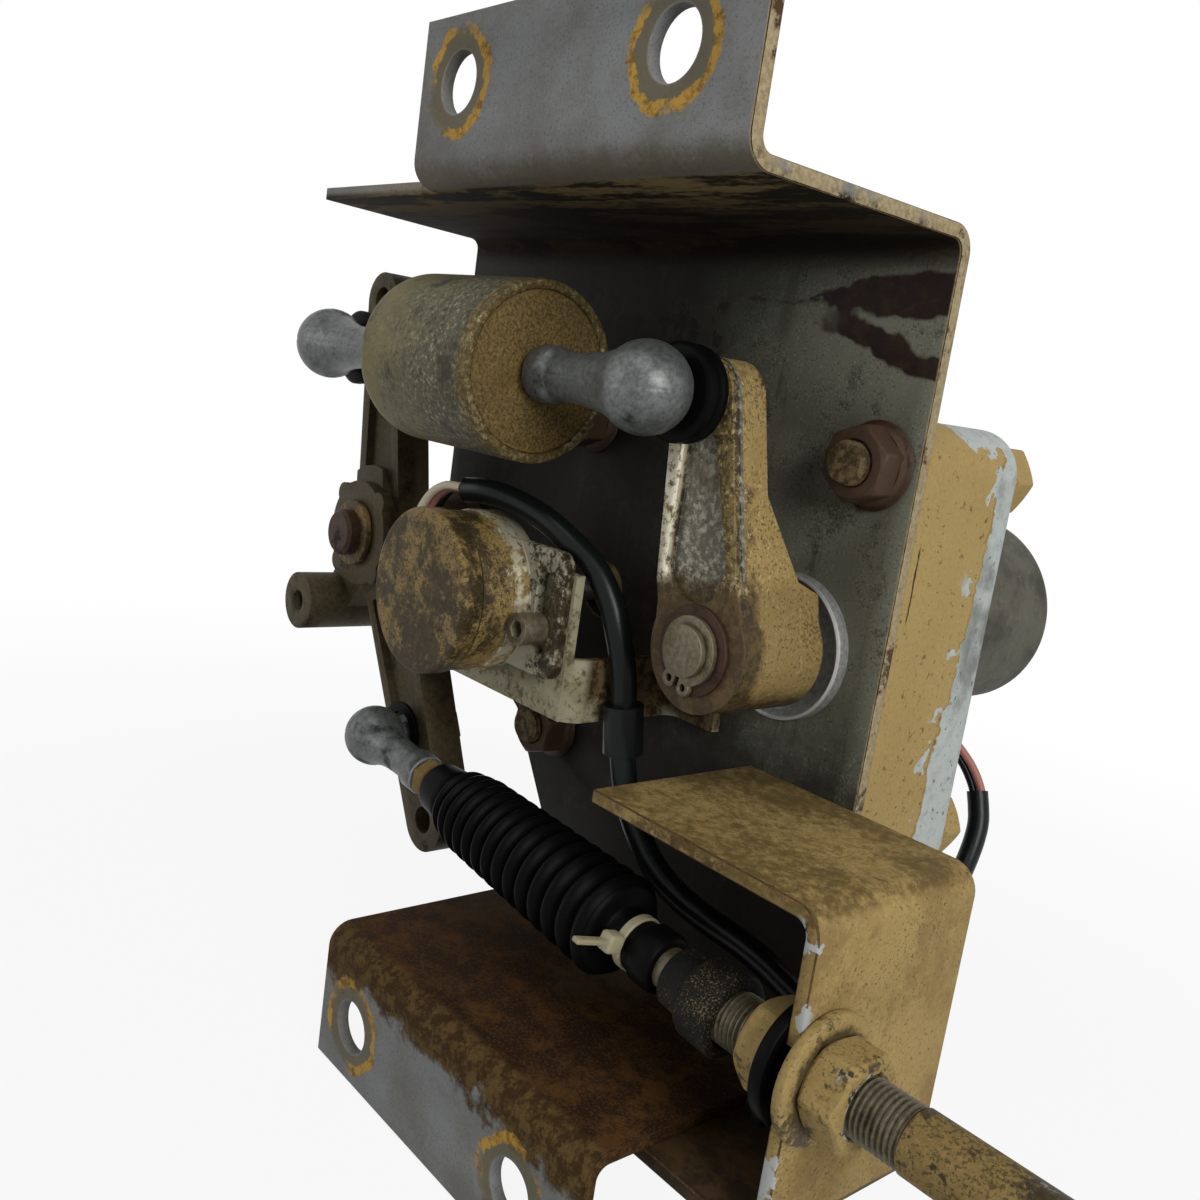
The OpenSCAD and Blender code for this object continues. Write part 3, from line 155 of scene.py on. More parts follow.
def noise(place, scale, detail, rough, stretch=None):
    """Cloudy values round one half; stretch squeezes the pattern along each axis."""
    if stretch:
        place = place.node("VectorMath", {"operation": "MULTIPLY"}, {0: place, 1: stretch})
    return place.node("TexNoise", inputs={
        "Vector": place, "Scale": scale, "Detail": detail, "Roughness": rough})


def mixed(mask, below, above):
    """One colour where the mask is 0, the other where it is 1; a colour is a socket or three numbers."""
    below, above = (c if isinstance(c, Socket) else (*c, 1.0) for c in (below, above))
    return mask.node("Mix", {"data_type": "RGBA"}, {0: mask, 6: below, 7: above}, out=2)


def axes(place):
    """The three coordinates of a place."""
    return [place.node("SeparateXYZ", inputs={0: place}, out=i) for i in range(3)]


def distance(a, b):
    """How far two differences at right angles reach together."""
    return a.maths("SQRT", a * a + b * b)


def edges(place):
    """High along the rounded edges of a piece, from a value that its mesh keeps at each point."""
    return place.node("Attribute", {"attribute_name": "edge"}, out="Fac")


SHADER_SOCKETS = {"color": "Base Color", "rough": "Roughness", "metal": "Metallic"}


def blank(name, gloss=0.2):
    """A new material: itself, its shader and the place on the object."""
    material = bpy.data.materials.new(name)
    material.use_nodes = True
    shader = material.node_tree.nodes["Principled BSDF"]
    shader.inputs["Specular IOR Level"].default_value = gloss
    return material, shader, Socket(material.node_tree).node("TexCoord", out="Object")


def finish(name, recipe, *options, gloss=0.2, **named):
    """A material made by a recipe, which turns the place into a bump and into the shader's values."""
    material, shader, place = blank(name, gloss)
    (height, strength, depth), values = recipe(place, *options, **named)
    bump = place.node("Bump", inputs={"Strength": strength, "Distance": depth, "Height": height})
    place.feed(shader, {"Normal": bump, **{SHADER_SOCKETS[k]: v for k, v in values.items()}})
    return material


print("shader helpers ready")

# %% [markdown]
# ## Tan paint
# Most of the small parts were sprayed tan by hand. The paint is thick and speckled with dark grit,
# chipped at edges, where bright metal shows, and covered by oily dirt in patches. The patches have
# speckled borders, because fine noise is added to the coarse one before the step.

# %% Tan paint
TAN, TAN_DUST = (0.312, 0.216, 0.078), (0.370, 0.262, 0.100)
FILM, FILM_DUST = (0.100, 0.064, 0.018), (0.172, 0.116, 0.037)
GRIT = (0.036, 0.024, 0.010)
OIL = (0.020, 0.014, 0.006)
BRIGHT = (0.34, 0.325, 0.27)
HUB_Y, HUB_Z = 0.0235, -0.065


def between(a, b, share):
    """A colour part of the way from one to another, worked out here and not in the shader."""
    return tuple(p + (q - p) * share for p, q in zip(a, b))


def tan_coat(place, grit, oil, film=0.0):
    """Colour, grain and stains of the sprayed paint; grit, oil and film run from 0 to 1."""
    grain = noise(place, 1000, 3, 0.7)
    cloud = noise(place, 48, 4, 0.65)
    color = mixed(rise(grain + 0.6 * cloud, 0.6, 1.0),
                  between(TAN, FILM, film), between(TAN_DUST, FILM_DUST, film))
    specks = rise(noise(place, 1300, 2, 0.7) + 0.30 * cloud, 0.84 - 0.22 * grit, 0.93 - 0.2 * grit)
    color = mixed(specks * 0.7, color, GRIT)
    stain = rise(noise(place, 45, 5, 0.66) + 0.30 * noise(place, 700, 2, 0.7),
                 0.90 - 0.40 * oil, 0.98 - 0.38 * oil)
    return mixed(stain * 0.85, color, OIL), grain, stain


def tan_recipe(place, grit, oil, film, chip, ring=None):
    color, grain, stain = tan_coat(place, grit, oil, film)
    fine = noise(place, 420, 3, 0.7)
    chips = rise(0.55 * edges(place) + noise(place, 80, 4, 0.7) + 0.3 * fine,
                 1.36 - 0.22 * chip, 1.42 - 0.22 * chip)
    color = mixed(chips, color, mixed(rise(fine, 0.46, 0.58), BRIGHT, GRIT))
    if ring:
        _, y, z = axes(place)
        # The dark ring on the washer round the nut is painted contact shade, with dirt.
        reach = distance(y - HUB_Y, z - HUB_Z) + 0.004 * (fine - 0.5)
        color = mixed(rise(reach, ring[1], ring[0]) * 0.85, color, OIL)
    return (grain * 0.6 - chips * 0.8, 0.35, 0.0004), dict(
        color=color, rough=0.66 - 0.18 * stain + 0.12 * grain)


# On the nuts and the washer the chips are set high, so their edges carry painted highlights and painted shade
# as well as wear.
on_nuts = {"grit": 0.35, "oil": 0.46, "film": 0.22, "chip": 0.8}
tan_cap = finish("tan_paint_filmed", tan_recipe, grit=1.0, oil=0.30, film=1.0, chip=0.5)
tan_dirty = finish("tan_paint_dirty", tan_recipe, grit=0.6, oil=0.70, film=0.75, chip=0.6)
tan_nut = finish("tan_paint_on_nuts", tan_recipe, **on_nuts)
# Its ring is the dark ring round the nut: painted contact shade with dirt.
tan_washer = finish("tan_paint_on_washer", tan_recipe, **on_nuts, ring=(0.0098, 0.0120))
pipe_steel = finish("pipe_steel", tan_recipe, grit=0.9, oil=0.62, film=0.62, chip=0.6)
print("tan paints", [m.name for m in (tan_cap, tan_dirty, tan_nut, tan_washer, pipe_steel)])

# %% [markdown]
# ## Bracket paint
# The big bracket was grey-blue. It keeps yellow prints of old washers round its four holes, a
# rusted lower flange, and an upper flange that is stained in front and whose underside is painted dark
# as shade, lighter towards the open front. Its web is painted dark as shade on the left, lower down and
# under the top, and lighter as light to the right, with grime over it. It also has a maroon streak with
# a branch, and tan overspray on its cut edges. Each is a mask made from the place.

# %% Bracket paint
HOLE_X, HOLE_Z = 0.036, 0.119
GREY_BLUE, GREY_WORN = (0.194, 0.200, 0.201), (0.138, 0.135, 0.122)
# The web's colours where painted light falls and where painted shade falls.
WEB_PAINTED_LIT, WEB_PAINTED_SHADE = (0.142, 0.144, 0.110), (0.011, 0.010, 0.008)
PRINT, PRINT_DARK = (0.42, 0.245, 0.045), (0.15, 0.082, 0.016)
RUST_DARK, RUST_WARM = (0.018, 0.008, 0.003), (0.070, 0.030, 0.008)
NEAR_BLACK = (0.007, 0.005, 0.003)
MAROON = (0.0085, 0.0028, 0.0018)


def bracket_recipe(place):
    x, y, z = axes(place)
    grain = noise(place, 800, 3, 0.7)
    cloud = noise(place, 34, 4, 0.65)
    patch = noise(place, 95, 5, 0.72)
    fine = noise(place, 260, 4, 0.72)
    high = rise(z, 0.088, 0.0955)
    low = rise(z, -0.088, -0.0955)
    lip = rise(y, 0.0062, 0.0036)
    web = rise(y, 0.0600, 0.0655)

    color = mixed(rise(cloud + 0.3 * grain, 0.5, 0.85), GREY_BLUE, GREY_WORN)
    scuffs = rise(noise(place, 150, 4, 0.75, (1, 1, 0.25)), 0.60, 0.72)
    color = mixed(scuffs * 0.45, color, (0.22, 0.225, 0.22))
    spots = rise(fine + 0.3 * cloud, 0.82, 0.90)
    color = mixed(spots * 0.75, color, (0.050, 0.034, 0.016))
    pepper = noise(place, 1500, 2, 0.7)
    color = mixed(rise(pepper + 0.3 * patch, 0.70, 0.78) * 0.45, color, (0.075, 0.070, 0.060))
    drag = rise(noise(place, 190, 4, 0.7, (0.3, 1, 1)), 0.58, 0.70)
    color = mixed(drag * 0.22, color, (0.078, 0.074, 0.066))

    # Painted light and shade on the web: dark on the left, lower down and under the top flange, and lighter
    # to the right. The pale mottling and specks below show only where this painted light falls.
    light = rise(x + 0.05 * (cloud - 0.5) + 0.02 * (patch - 0.5), -0.034, 0.052)
    light = light * rise(z + 0.03 * (patch - 0.5), -0.040, -0.006)
    light = light * rise(z + 0.02 * (patch - 0.5), 0.110, 0.074).top(0.42)
    wall = mixed(light, WEB_PAINTED_SHADE, WEB_PAINTED_LIT)
    wall = mixed(rise(grain + 0.6 * patch, 0.82, 1.02) * light * 0.6, wall, (0.175, 0.168, 0.125))
    wall = mixed(rise(patch + 0.35 * fine, 0.72, 0.86) * 0.6, wall, (0.030, 0.028, 0.020))
    wall = mixed(rise(pepper + 0.3 * patch, 0.74, 0.80) * 0.6, wall, (0.012, 0.010, 0.007))
    wall = mixed(rise(pepper - 0.2 * patch, 0.30, 0.24) * light * 0.7, wall, (0.26, 0.245, 0.18))
    runs = rise(noise(place, 60, 4, 0.7, (1.6, 1, 0.22)) + 0.2 * (fine - 0.5), 0.56, 0.66)
    wall = mixed(runs * 0.45, wall, (0.024, 0.022, 0.016))
    wander = 0.011 * (noise(place, 55, 3, 0.6) - 0.5) + 0.0008 * (fine - 0.5)
    wide = rise(x, 0.012, 0.058)
    band = rise(abs(z + wander - 0.0830 - 0.0025 * wide) - 0.0048 * wide - 0.0004, 0.0006, -0.0005)
    branch = rise(abs(z + 1.3 * wander - 0.0785 + 0.33 * (x - 0.033)) - 0.0030, 0.0006, -0.0006)
    streak = band * rise(x + 5 * wander, -0.022, 0.004) + branch * rise(x + 3 * wander, 0.026, 0.034)
    streak = streak.low(1.0) * rise(fine + 0.8 * wide, 0.42, 0.62)
    wall = mixed(streak, wall, mixed(rise(fine, 0.45, 0.65), MAROON, (0.020, 0.009, 0.004)))
    burnt = rise(patch + 0.4 * (fine - 0.5) - 9 * abs(z - 0.073), 0.45, 0.52) * rise(x, 0.004, -0.012)
    wall = mixed(burnt * 0.9, wall, NEAR_BLACK)
    color = mixed(web, color, wall)

    spread = z + 0.020 * (patch - 0.5) + 0.026 * (cloud - 0.5) + 0.006 * (fine - 0.5)
    spread = rise(spread, -0.1095, -0.1055)
    shelf = low * (1 - lip * (1 - spread))
    rust = mixed(rise(patch + 0.5 * (cloud - 0.5) + 0.3 * (grain - 0.5), 0.42, 0.66), RUST_DARK, RUST_WARM)
    rust = mixed(rise(cloud + 0.4 * fine + 5 * (y - 0.030), 0.76, 0.94) * 0.7, rust, (0.046, 0.039, 0.022))
    rust = mixed(rise(pepper + 0.25 * patch, 0.62, 0.76) * 0.55, rust, (0.085, 0.043, 0.012))
    creep = mixed(rise(fine + 0.4 * (grain - 0.5), 0.4, 0.62),
                  (0.034, 0.017, 0.005), (0.092, 0.056, 0.019))
    color = mixed(shelf, color, mixed(lip, rust, creep))

    # The underside of the upper flange is painted dark as shade, lighter towards the open front, with dark
    # streaks.
    roof = high * (1 - lip) * rise(z, 0.0985, 0.0968)
    smear = rise(noise(place, 70, 5, 0.7, (0.3, 1, 1)) + 0.2 * (fine - 0.5), 0.44, 0.56)
    roof_shade = mixed(rise(y, 0.045, 0.006), (0.024, 0.016, 0.007), (0.150, 0.108, 0.048))
    color = mixed(roof, color, mixed(smear, roof_shade, NEAR_BLACK))
    stained = high * lip * rise(z + 0.012 * (patch - 0.5), 0.1042, 0.0972)
    color = mixed(stained * 0.75, color, (0.072, 0.053, 0.025))

    reach = distance(abs(x) - HOLE_X, abs(z) - HOLE_Z)
    torn = reach + 0.0066 * (noise(place, 120, 4, 0.7) - 0.5) + 0.0024 * (fine - 0.5)
    broken = rise(noise(place, 55, 3, 0.6), 0.42, 0.50)
    round_hole = lip * rise(reach, 0.0071, 0.0076)
    halo = round_hole * rise(torn, 0.0128, 0.0100)
    color = mixed(halo * 0.75, color, (0.105, 0.086, 0.042))
    ring = round_hole * rise(torn, 0.0101, 0.0107) * rise(torn, 0.0132, 0.0124) * broken
    color = mixed(ring, color, mixed(rise(fine, 0.38, 0.56), PRINT_DARK, PRINT))

    edge = edges(place)
    cut = rise(x, 0.0583, 0.0589)
    over = (cut + edge * 0.6).low(1.0) * rise(patch + 0.3 * grain, 0.42, 0.60) * (1 - low)
    spray = mixed(rise(grain + 0.4 * patch, 0.5, 0.9), (0.25, 0.185, 0.088), (0.36, 0.30, 0.19))
    color = mixed(over, color, spray)
    nick = rise(0.35 * edge + 0.25 * cut + patch + 0.35 * (fine - 0.5), 0.80, 0.90) * (edge + cut).low(1.0)
    color = mixed(nick, color, mixed(rise(fine, 0.4, 0.6), RUST_DARK, (0.055, 0.030, 0.012)))

    rough = 0.55 + 0.25 * shelf + 0.30 * roof + 0.15 * grain - 0.12 * streak
    return (grain * 0.35 + patch * 0.3 * (shelf + 0.25) - nick * 0.3, 0.4, 0.0005), dict(
        color=color, rough=rough)


bracket_paint = finish("bracket_paint", bracket_recipe, gloss=0.12)
print("bracket paint has", len(bracket_paint.node_tree.nodes), "nodes")

# %% [markdown]
# ## Case, cable bracket and motor finishes
# The gear case was pale blue, and the tan coat over it stops at a ragged line before the back. The
# cable bracket is tan with clouds of brown and rust on its front edges, and its inside is painted
# near-black as shade. The motor can is mottled grey.

# %% Case, cable bracket and motor
PALE_BLUE = (0.42, 0.452, 0.432)
TAN_ENDS = 0.0972


def case_recipe(place):
    _, y, z = axes(place)
    color, grain, _ = tan_coat(place, grit=0.12, oil=0.0)
    torn = noise(place, 42, 3, 0.55) - 0.5
    ragged = noise(place, 240, 4, 0.68) - 0.5
    limit = y + 0.016 * torn + 0.0050 * ragged - 0.085 * z
    bare = rise(limit, TAN_ENDS, 0.0976)
    flakes = rise(noise(place, 105, 3, 0.6) + 0.10 * ragged, 0.60, 0.61) * rise(limit, 0.0905, 0.0935)
    foot = rise(0.0 - z + 0.024 * torn + 0.006 * ragged + 0.35 * (y - 0.09), 0.0430, 0.0434)
    crown = rise(z + 0.030 * torn + 0.006 * ragged + 0.30 * (y - 0.09), 0.0560, 0.0564)
    bare = (bare + flakes + foot + crown * rise(y, 0.082, 0.085)).low(1.0)
    blue = mixed(rise(noise(place, 300, 3, 0.7), 0.45, 0.7), PALE_BLUE, (0.34, 0.37, 0.36))
    rub = rise(noise(place, 60, 4, 0.6) - 9 * abs(z - 0.010), 0.26, 0.50) * rise(y, 0.095, 0.103)
    blue = mixed(rub * 0.8, blue, (0.12, 0.12, 0.105))
    color = mixed(bare, color, blue)
    lip = rise(abs(limit - TAN_ENDS + 0.0003), 0.0004, 0.0001) * (1 - bare)
    color = mixed(lip * 0.5, color, (0.16, 0.105, 0.035))
    color = mixed(rise(noise(place, 520, 4, 0.75), 0.60, 0.66) * 0.7, color, GRIT)
    crack = rise(abs(y - 0.0740 + 0.0016 * ragged), 0.00035, 0.00015)
    crack = crack * rise(abs(z - 0.022), 0.010, 0.007)
    color = mixed(crack, color, NEAR_BLACK)
    return (grain * 0.4 - bare * 0.9 - crack, 0.4, 0.0004), dict(color=color, rough=0.60 + 0.1 * grain)


def cable_bracket_recipe(place):
    x, y, z = axes(place)
    color, grain, _ = tan_coat(place, grit=0.42, oil=0.12, film=0.04)
    fine = noise(place, 430, 4, 0.72)
    patch = noise(place, 110, 4, 0.7)
    cloud = noise(place, 36, 4, 0.65)
    color = mixed(rise(cloud + 0.4 * fine, 0.62, 0.84) * 0.55, color, (0.150, 0.092, 0.030))
    color = mixed(rise(noise(place, 640, 3, 0.7), 0.63, 0.70) * 0.75, color, (0.060, 0.036, 0.010))
    top = rise(z, -0.0345, -0.0322)
    grime_top = top * rise(fine + 0.7 * cloud, 0.62, 1.02)
    color = mixed(grime_top * 0.8, color, (0.080, 0.051, 0.014))
    # The inside of the bracket below its top is painted near-black as shade.
    inside_shade = rise(x, 0.0894, 0.0888) * rise(z, -0.0335, -0.0345)
    color = mixed(inside_shade * 0.95, color, mixed(rise(grain, 0.4, 0.7), NEAR_BLACK, (0.035, 0.028, 0.016)))
    bottom = rise(z, -0.0975, -0.0990)
    under = mixed(rise(patch, 0.4, 0.6), (0.016, 0.008, 0.003), (0.055, 0.030, 0.010))
    color = mixed(bottom * 0.9, color, under)
    edge = edges(place)
    front = rise(y, 0.0185, 0.0163)
    rusty_edge = rise(0.45 * edge + 0.35 * front + patch + 0.3 * (fine - 0.5), 0.88, 1.00)
    rusty_edge = rusty_edge * (edge + front).low(1.0)
    rust = mixed(rise(fine, 0.4, 0.6), (0.030, 0.014, 0.006), (0.085, 0.050, 0.018))
    color = mixed(rusty_edge * 0.9, color, rust)
    upright = rise(x, 0.0860, 0.0890) * rise(y, 0.0192, 0.0170)
    chips = upright * rise(noise(place, 140, 3, 0.6) + 0.2 * (fine - 0.5), 0.52, 0.55)
    color = mixed(chips, color, (0.37, 0.385, 0.375))
    return (grain * 0.6 - chips * 0.6, 0.35, 0.0004), dict(color=color, rough=0.68 + 0.1 * grain)


def motor_recipe(place):
    grain = noise(place, 420, 4, 0.7)
    cloud = noise(place, 60, 5, 0.65)
    color = mixed(rise(cloud, 0.38, 0.66), (0.098, 0.095, 0.072), (0.042, 0.040, 0.030))
    color = mixed(rise(grain, 0.55, 0.72) * 0.7, color, (0.150, 0.144, 0.110))
    return (grain, 0.3, 0.0003), dict(color=color, rough=0.65, metal=0.1)


case_paint = finish("case_paint", case_recipe)
cable_paint = finish("cable_bracket_paint", cable_bracket_recipe)
motor_grey = finish("motor_grey", motor_recipe)
print("case, cable bracket and motor finishes ready")

# %% [markdown]
# ## Drive lever
# The lever is a painted casting that has been handled a lot. Golden paint is left on its right side
# and hub, its left rim is rubbed to speckled metal, its channel is dull metal, and grease and rust sit
# round the shaft. The lever's own directions are mixes of two axes, so a distance along it picks out
# hub, arm and eye, and a distance across it tells left from right.

# %% Drive lever
SHAFT_X, SHAFT_Z = 0.0315, 0.0012
LEVER_COS, LEVER_SIN = 0.9866, 0.1633
STEEL_GLINT = (0.60, 0.56, 0.43)


def lever_recipe(place):
    x, y, z = axes(place)
    along = LEVER_COS * (z - SHAFT_Z) - LEVER_SIN * (x - SHAFT_X)
    across = LEVER_COS * (x - SHAFT_X) + LEVER_SIN * (z - SHAFT_Z)
    color, grain, stain = tan_coat(place, grit=0.7, oil=0.36, film=0.14)
    patch = noise(place, 100, 5, 0.72)
    fine = noise(place, 480, 3, 0.75)
    dirt = rise(patch + 0.6 * (fine - 0.5) + 26 * (0.0425 - y), 0.54, 0.66)
    mud = mixed(rise(fine, 0.44, 0.58), (0.018, 0.013, 0.006), (0.175, 0.124, 0.050))
    color = mixed(dirt * 0.85, color, mud)
    # Painted glints: bright specks painted into the colour as highlights.
    glints = rise(noise(place, 900, 2, 0.6) + 0.3 * patch, 0.76, 0.82)
    color = mixed(glints * 0.7, color, (0.42, 0.35, 0.19))
    channel = rise(y, 0.0364, 0.0370) * rise(y, 0.0384, 0.0379) * rise(along, 0.013, 0.017)
    floor_tone = mixed(rise(fine + 0.4 * patch, 0.62, 0.90), (0.098, 0.091, 0.068), (0.36, 0.345, 0.27))
    floor_tone = mixed(rise(patch + 0.3 * (fine - 0.5), 0.52, 0.62) * 0.75, floor_tone, (0.046, 0.031, 0.013))
    color = mixed(channel, color, floor_tone)
    # A dark line along the channel's walls: painted shade in the crease.
    crease_shade = rise(y, 0.0353, 0.0358) * rise(y, 0.0376, 0.0371) * rise(along, 0.013, 0.018)
    color = mixed(crease_shade * rise(fine + 0.5 * patch, 0.90, 0.62) * 0.9, color, (0.018, 0.012, 0.006))
    left = rise(across, -0.0010, -0.0040)
    rim = rise(y, 0.0366, 0.0352) * rise(along, 0.012, 0.019) * left
    worn_edge = edges(place) * (0.25 + 0.75 * left) * rise(fine + 0.8 * patch, 0.86, 1.02)
    rubbed = (rim * rise(fine + 0.5 * patch, 0.58, 0.76) + worn_edge).low(1.0)
    color = mixed(rubbed, color, STEEL_GLINT)
    color = mixed(rim * rise(fine + 0.5 * patch, 0.60, 0.50), color, (0.060, 0.046, 0.024))
    hub = rise(along + 0.016 * (patch - 0.5) + 0.006 * (fine - 0.5), 0.0185, 0.0135)
    face = rise(y, 0.0368, 0.0363)
    rust = mixed(rise(patch + 0.5 * fine, 0.6, 0.9), (0.022, 0.015, 0.008), (0.085, 0.055, 0.022))
    color = mixed(hub * face * 0.92, color, rust)
    side = hub * (1 - face)
    color = mixed(side * 0.30, color, (0.062, 0.041, 0.012))
    below = rise(across + 0.7 * along + 0.012 * (patch - 0.5) + 0.005 * (fine - 0.5), 0.007, -0.001)
    forward = rise(y + 0.008 * (patch - 0.5) + 0.004 * (fine - 0.5), 0.0440, 0.0405)
    grease = mixed(rise(fine, 0.4, 0.65), (0.022, 0.015, 0.007), (0.080, 0.054, 0.018))
    color = mixed(side * (below + forward).low(1.0) * 0.9, color, grease)
    return (grain * 0.5 + fine * 0.6 - dirt * 0.3, 0.45, 0.0004), dict(
        color=color,
        rough=0.62 - 0.14 * stain - 0.24 * rubbed - 0.14 * channel, metal=0.55 * rubbed + 0.30 * channel)


lever_paint = finish("lever_paint", lever_recipe)
print("lever paint has", len(lever_paint.node_tree.nodes), "nodes")

# %% [markdown]
# ## Sensor
# The sensor's drum is tan under a brown film, with dark spills and a band of plating left bare at the
# back. Its ears are half bare and half black with oil. Its bracket is pale, with dirt in its corners.


# %% Sensor
def sensor_recipe(place):
    x, y, z = axes(place)
    color, grain, stain = tan_coat(place, grit=0.75, oil=0.30, film=0.62)
    patch = noise(place, 75, 5, 0.72)
    fine = noise(place, 420, 4, 0.75)
    front = rise(y, 0.0078, 0.0064)
    color = mixed(front * rise(noise(place, 120, 3, 0.6), 0.48, 0.64) * 0.8, color, (0.175, 0.124, 0.056))
    spill = rise(patch + 0.45 * (fine - 0.5) - 2.5 * front * z, 0.42, 0.56)
    dried = mixed(rise(fine, 0.45, 0.72), (0.010, 0.007, 0.003), (0.055, 0.039, 0.016))
    color = mixed(spill * 0.9, color, dried)
    pepper = rise(noise(place, 950, 3, 0.7) + 0.3 * patch, 0.70, 0.77)
    color = mixed(pepper * 0.8, color, (0.016, 0.011, 0.004))
    plated = rise(0.6 * fine + 0.6 * patch - 45 * abs(y - 0.0225), 0.46, 0.60) * rise(y, 0.0258, 0.0254)
    color = mixed(plated, color, (0.42, 0.39, 0.28))
    ear = rise(y, 0.0254, 0.0258)
    bare = rise(patch + 0.8 * (fine - 0.5) - 14 * (abs(x + 0.0381) - 0.0235), 0.42, 0.56)
    oily = mixed(rise(fine, 0.4, 0.65), (0.018, 0.013, 0.006), (0.075, 0.056, 0.026))
    color = mixed(ear, color, mixed(bare, oily, (0.27, 0.25, 0.18)))
    # Bright marks along the rounded edges: painted highlights, partly wear.
    worn = edges(place) * rise(fine + 0.5 * patch, 0.76, 0.86)
    color = mixed(worn * 0.8, color, (0.33, 0.30, 0.21))
    groove = rise(abs(y - 0.0118), 0.0006, 0.0002)
    color = mixed(groove, color, OIL)
    return (grain * 0.4 + fine * 0.5, 0.4, 0.0004), dict(
        color=color,
        rough=0.62 - 0.2 * plated - 0.15 * stain, metal=0.45 * plated + 0.35 * ear * bare)


def sensor_bracket_recipe(place):
    y = axes(place)[1]
    patch = noise(place, 90, 4, 0.7)
    fine = noise(place, 420, 3, 0.7)
    color = mixed(rise(patch, 0.4, 0.65), (0.285, 0.262, 0.172), (0.200, 0.176, 0.104))
    color = mixed(rise(fine + 0.4 * patch, 0.70, 0.86) * 0.8, color, (0.070, 0.048, 0.020))
    soil = mixed(rise(fine, 0.4, 0.6), (0.030, 0.015, 0.007), (0.12, 0.085, 0.036))
    color = mixed(rise(y, 0.0335, 0.0365) * rise(patch, 0.32, 0.5), color, soil)
    return (fine, 0.3, 0.0004), dict(color=color, rough=0.6 + 0.15 * patch)


sensor_paint = finish("sensor_paint", sensor_recipe)
sensor_blue = finish("sensor_bracket_paint", sensor_bracket_recipe)
print("sensor finishes ready")

# %% [markdown]
# ## Metals
# Zinc-plated joints, rusty nuts, greasy steel, a cast lever and bright inner parts share one recipe: a
# metal colour, clouds of dirt that take the shine away, and bright edges. The olive capsule and the
# bolts behind the case have recipes of their own.


# %% Metals
def metal_recipe(place, color, worn, dirt, dirty, shine, metal=0.9, grit=0.2, cast=0.15):
    cloud = noise(place, 75, 5, 0.7)
    grain = noise(place, 750, 3, 0.7)
    bright = rise(edges(place) + 0.7 * noise(place, 300, 3, 0.7), 0.80, 1.1)
    tone = mixed(rise(grain, 0.3, 0.7), color, between(color, worn, 0.5))
    tone = mixed(bright * 0.8, tone, worn)
    soiled = rise(cloud + 0.25 * grain, 0.98 - 0.6 * dirty, 1.12 - 0.55 * dirty) * (1 - 0.7 * bright)
    tone = mixed(soiled, tone, dirt)
    tone = mixed(rise(noise(place, 900, 3, 0.7), 0.72 - 0.2 * grit, 0.80 - 0.2 * grit) * 0.6, tone, GRIT)
    return (grain * 0.5 + cloud * cast * 4, 0.3, 0.0003), dict(
        color=tone, rough=shine + 0.30 * soiled + 0.12 * grain, metal=metal * (1 - 0.85 * soiled))


zinc = finish("zinc_plate", metal_recipe, (0.078, 0.085, 0.081), (0.215, 0.228, 0.220),
              (0.020, 0.021, 0.019), dirty=0.54, shine=0.36, metal=0.5)
rusty = finish("rusty_steel", metal_recipe, (0.027, 0.0115, 0.0065), (0.062, 0.035, 0.020),
               (0.008, 0.004, 0.0025), dirty=0.60, shine=0.50, metal=0.1, grit=0.4)
greasy = finish("greasy_steel", metal_recipe, (0.085, 0.070, 0.042), (0.22, 0.19, 0.13),
                (0.022, 0.015, 0.007), dirty=0.52, shine=0.42, metal=0.4, grit=0.35)
cast = finish("cast_lever", metal_recipe, (0.036, 0.026, 0.011), (0.100, 0.077, 0.040),
              (0.010, 0.007, 0.003), dirty=0.52, shine=0.55, metal=0.12, grit=0.4, cast=0.5)
bright_steel = finish("bright_steel", metal_recipe, (0.23, 0.235, 0.22), (0.50, 0.50, 0.48),
                      (0.05, 0.045, 0.035), dirty=0.34, shine=0.30, metal=0.5, grit=0.1)
gear_steel = finish("gear_steel", metal_recipe, (0.22, 0.21, 0.20), (0.38, 0.38, 0.36),
                    (0.05, 0.04, 0.02), dirty=0.4, shine=0.35)
bronze = finish("bush_bronze", metal_recipe, (0.30, 0.20, 0.08), (0.45, 0.33, 0.16),
                (0.04, 0.03, 0.015), dirty=0.4, shine=0.4)


def capsule_recipe(place):
    x = axes(place)[0]
    cloud = noise(place, 34, 5, 0.72)
    patch = noise(place, 90, 5, 0.75)
    grain = noise(place, 820, 3, 0.75)
    grey = rise(x + 0.05 * (cloud - 0.5) + 0.02 * (patch - 0.5), -0.062, -0.030)
    color = mixed(rise(cloud + 0.3 * patch, 0.5, 0.85), (0.158, 0.133, 0.057), (0.100, 0.085, 0.040))
    color = mixed(grey * 0.85, color, (0.072, 0.068, 0.047))
    color = mixed(rise(grain, 0.55, 0.63) * (0.15 + 0.6 * grey), color, (0.27, 0.25, 0.165))
    color = mixed(rise(grain, 0.46, 0.38) * (0.25 + 0.6 * grey), color, (0.020, 0.017, 0.009))
    stain = rise(patch + 0.8 * (cloud - 0.5) + 0.3 * (grain - 0.5), 0.58, 0.67)
    color = mixed(stain * 0.85, color, (0.022, 0.018, 0.009))
    end = rise(x, -0.0192, -0.0178)
    crust = mixed(rise(grain, 0.42, 0.62), (0.060, 0.042, 0.014), (0.150, 0.104, 0.036))
    color = mixed(end * 0.9, color, crust)
    bare = (end * 0.25 + edges(place) * 0.5).low(1.0) * rise(patch + 0.7 * grain, 0.88, 1.02)
    color = mixed(bare, color, (0.40, 0.355, 0.22))
    return (grain * 0.9, 0.4, 0.0003), dict(color=color, rough=0.58 - 0.2 * bare, metal=0.12 + 0.4 * bare)


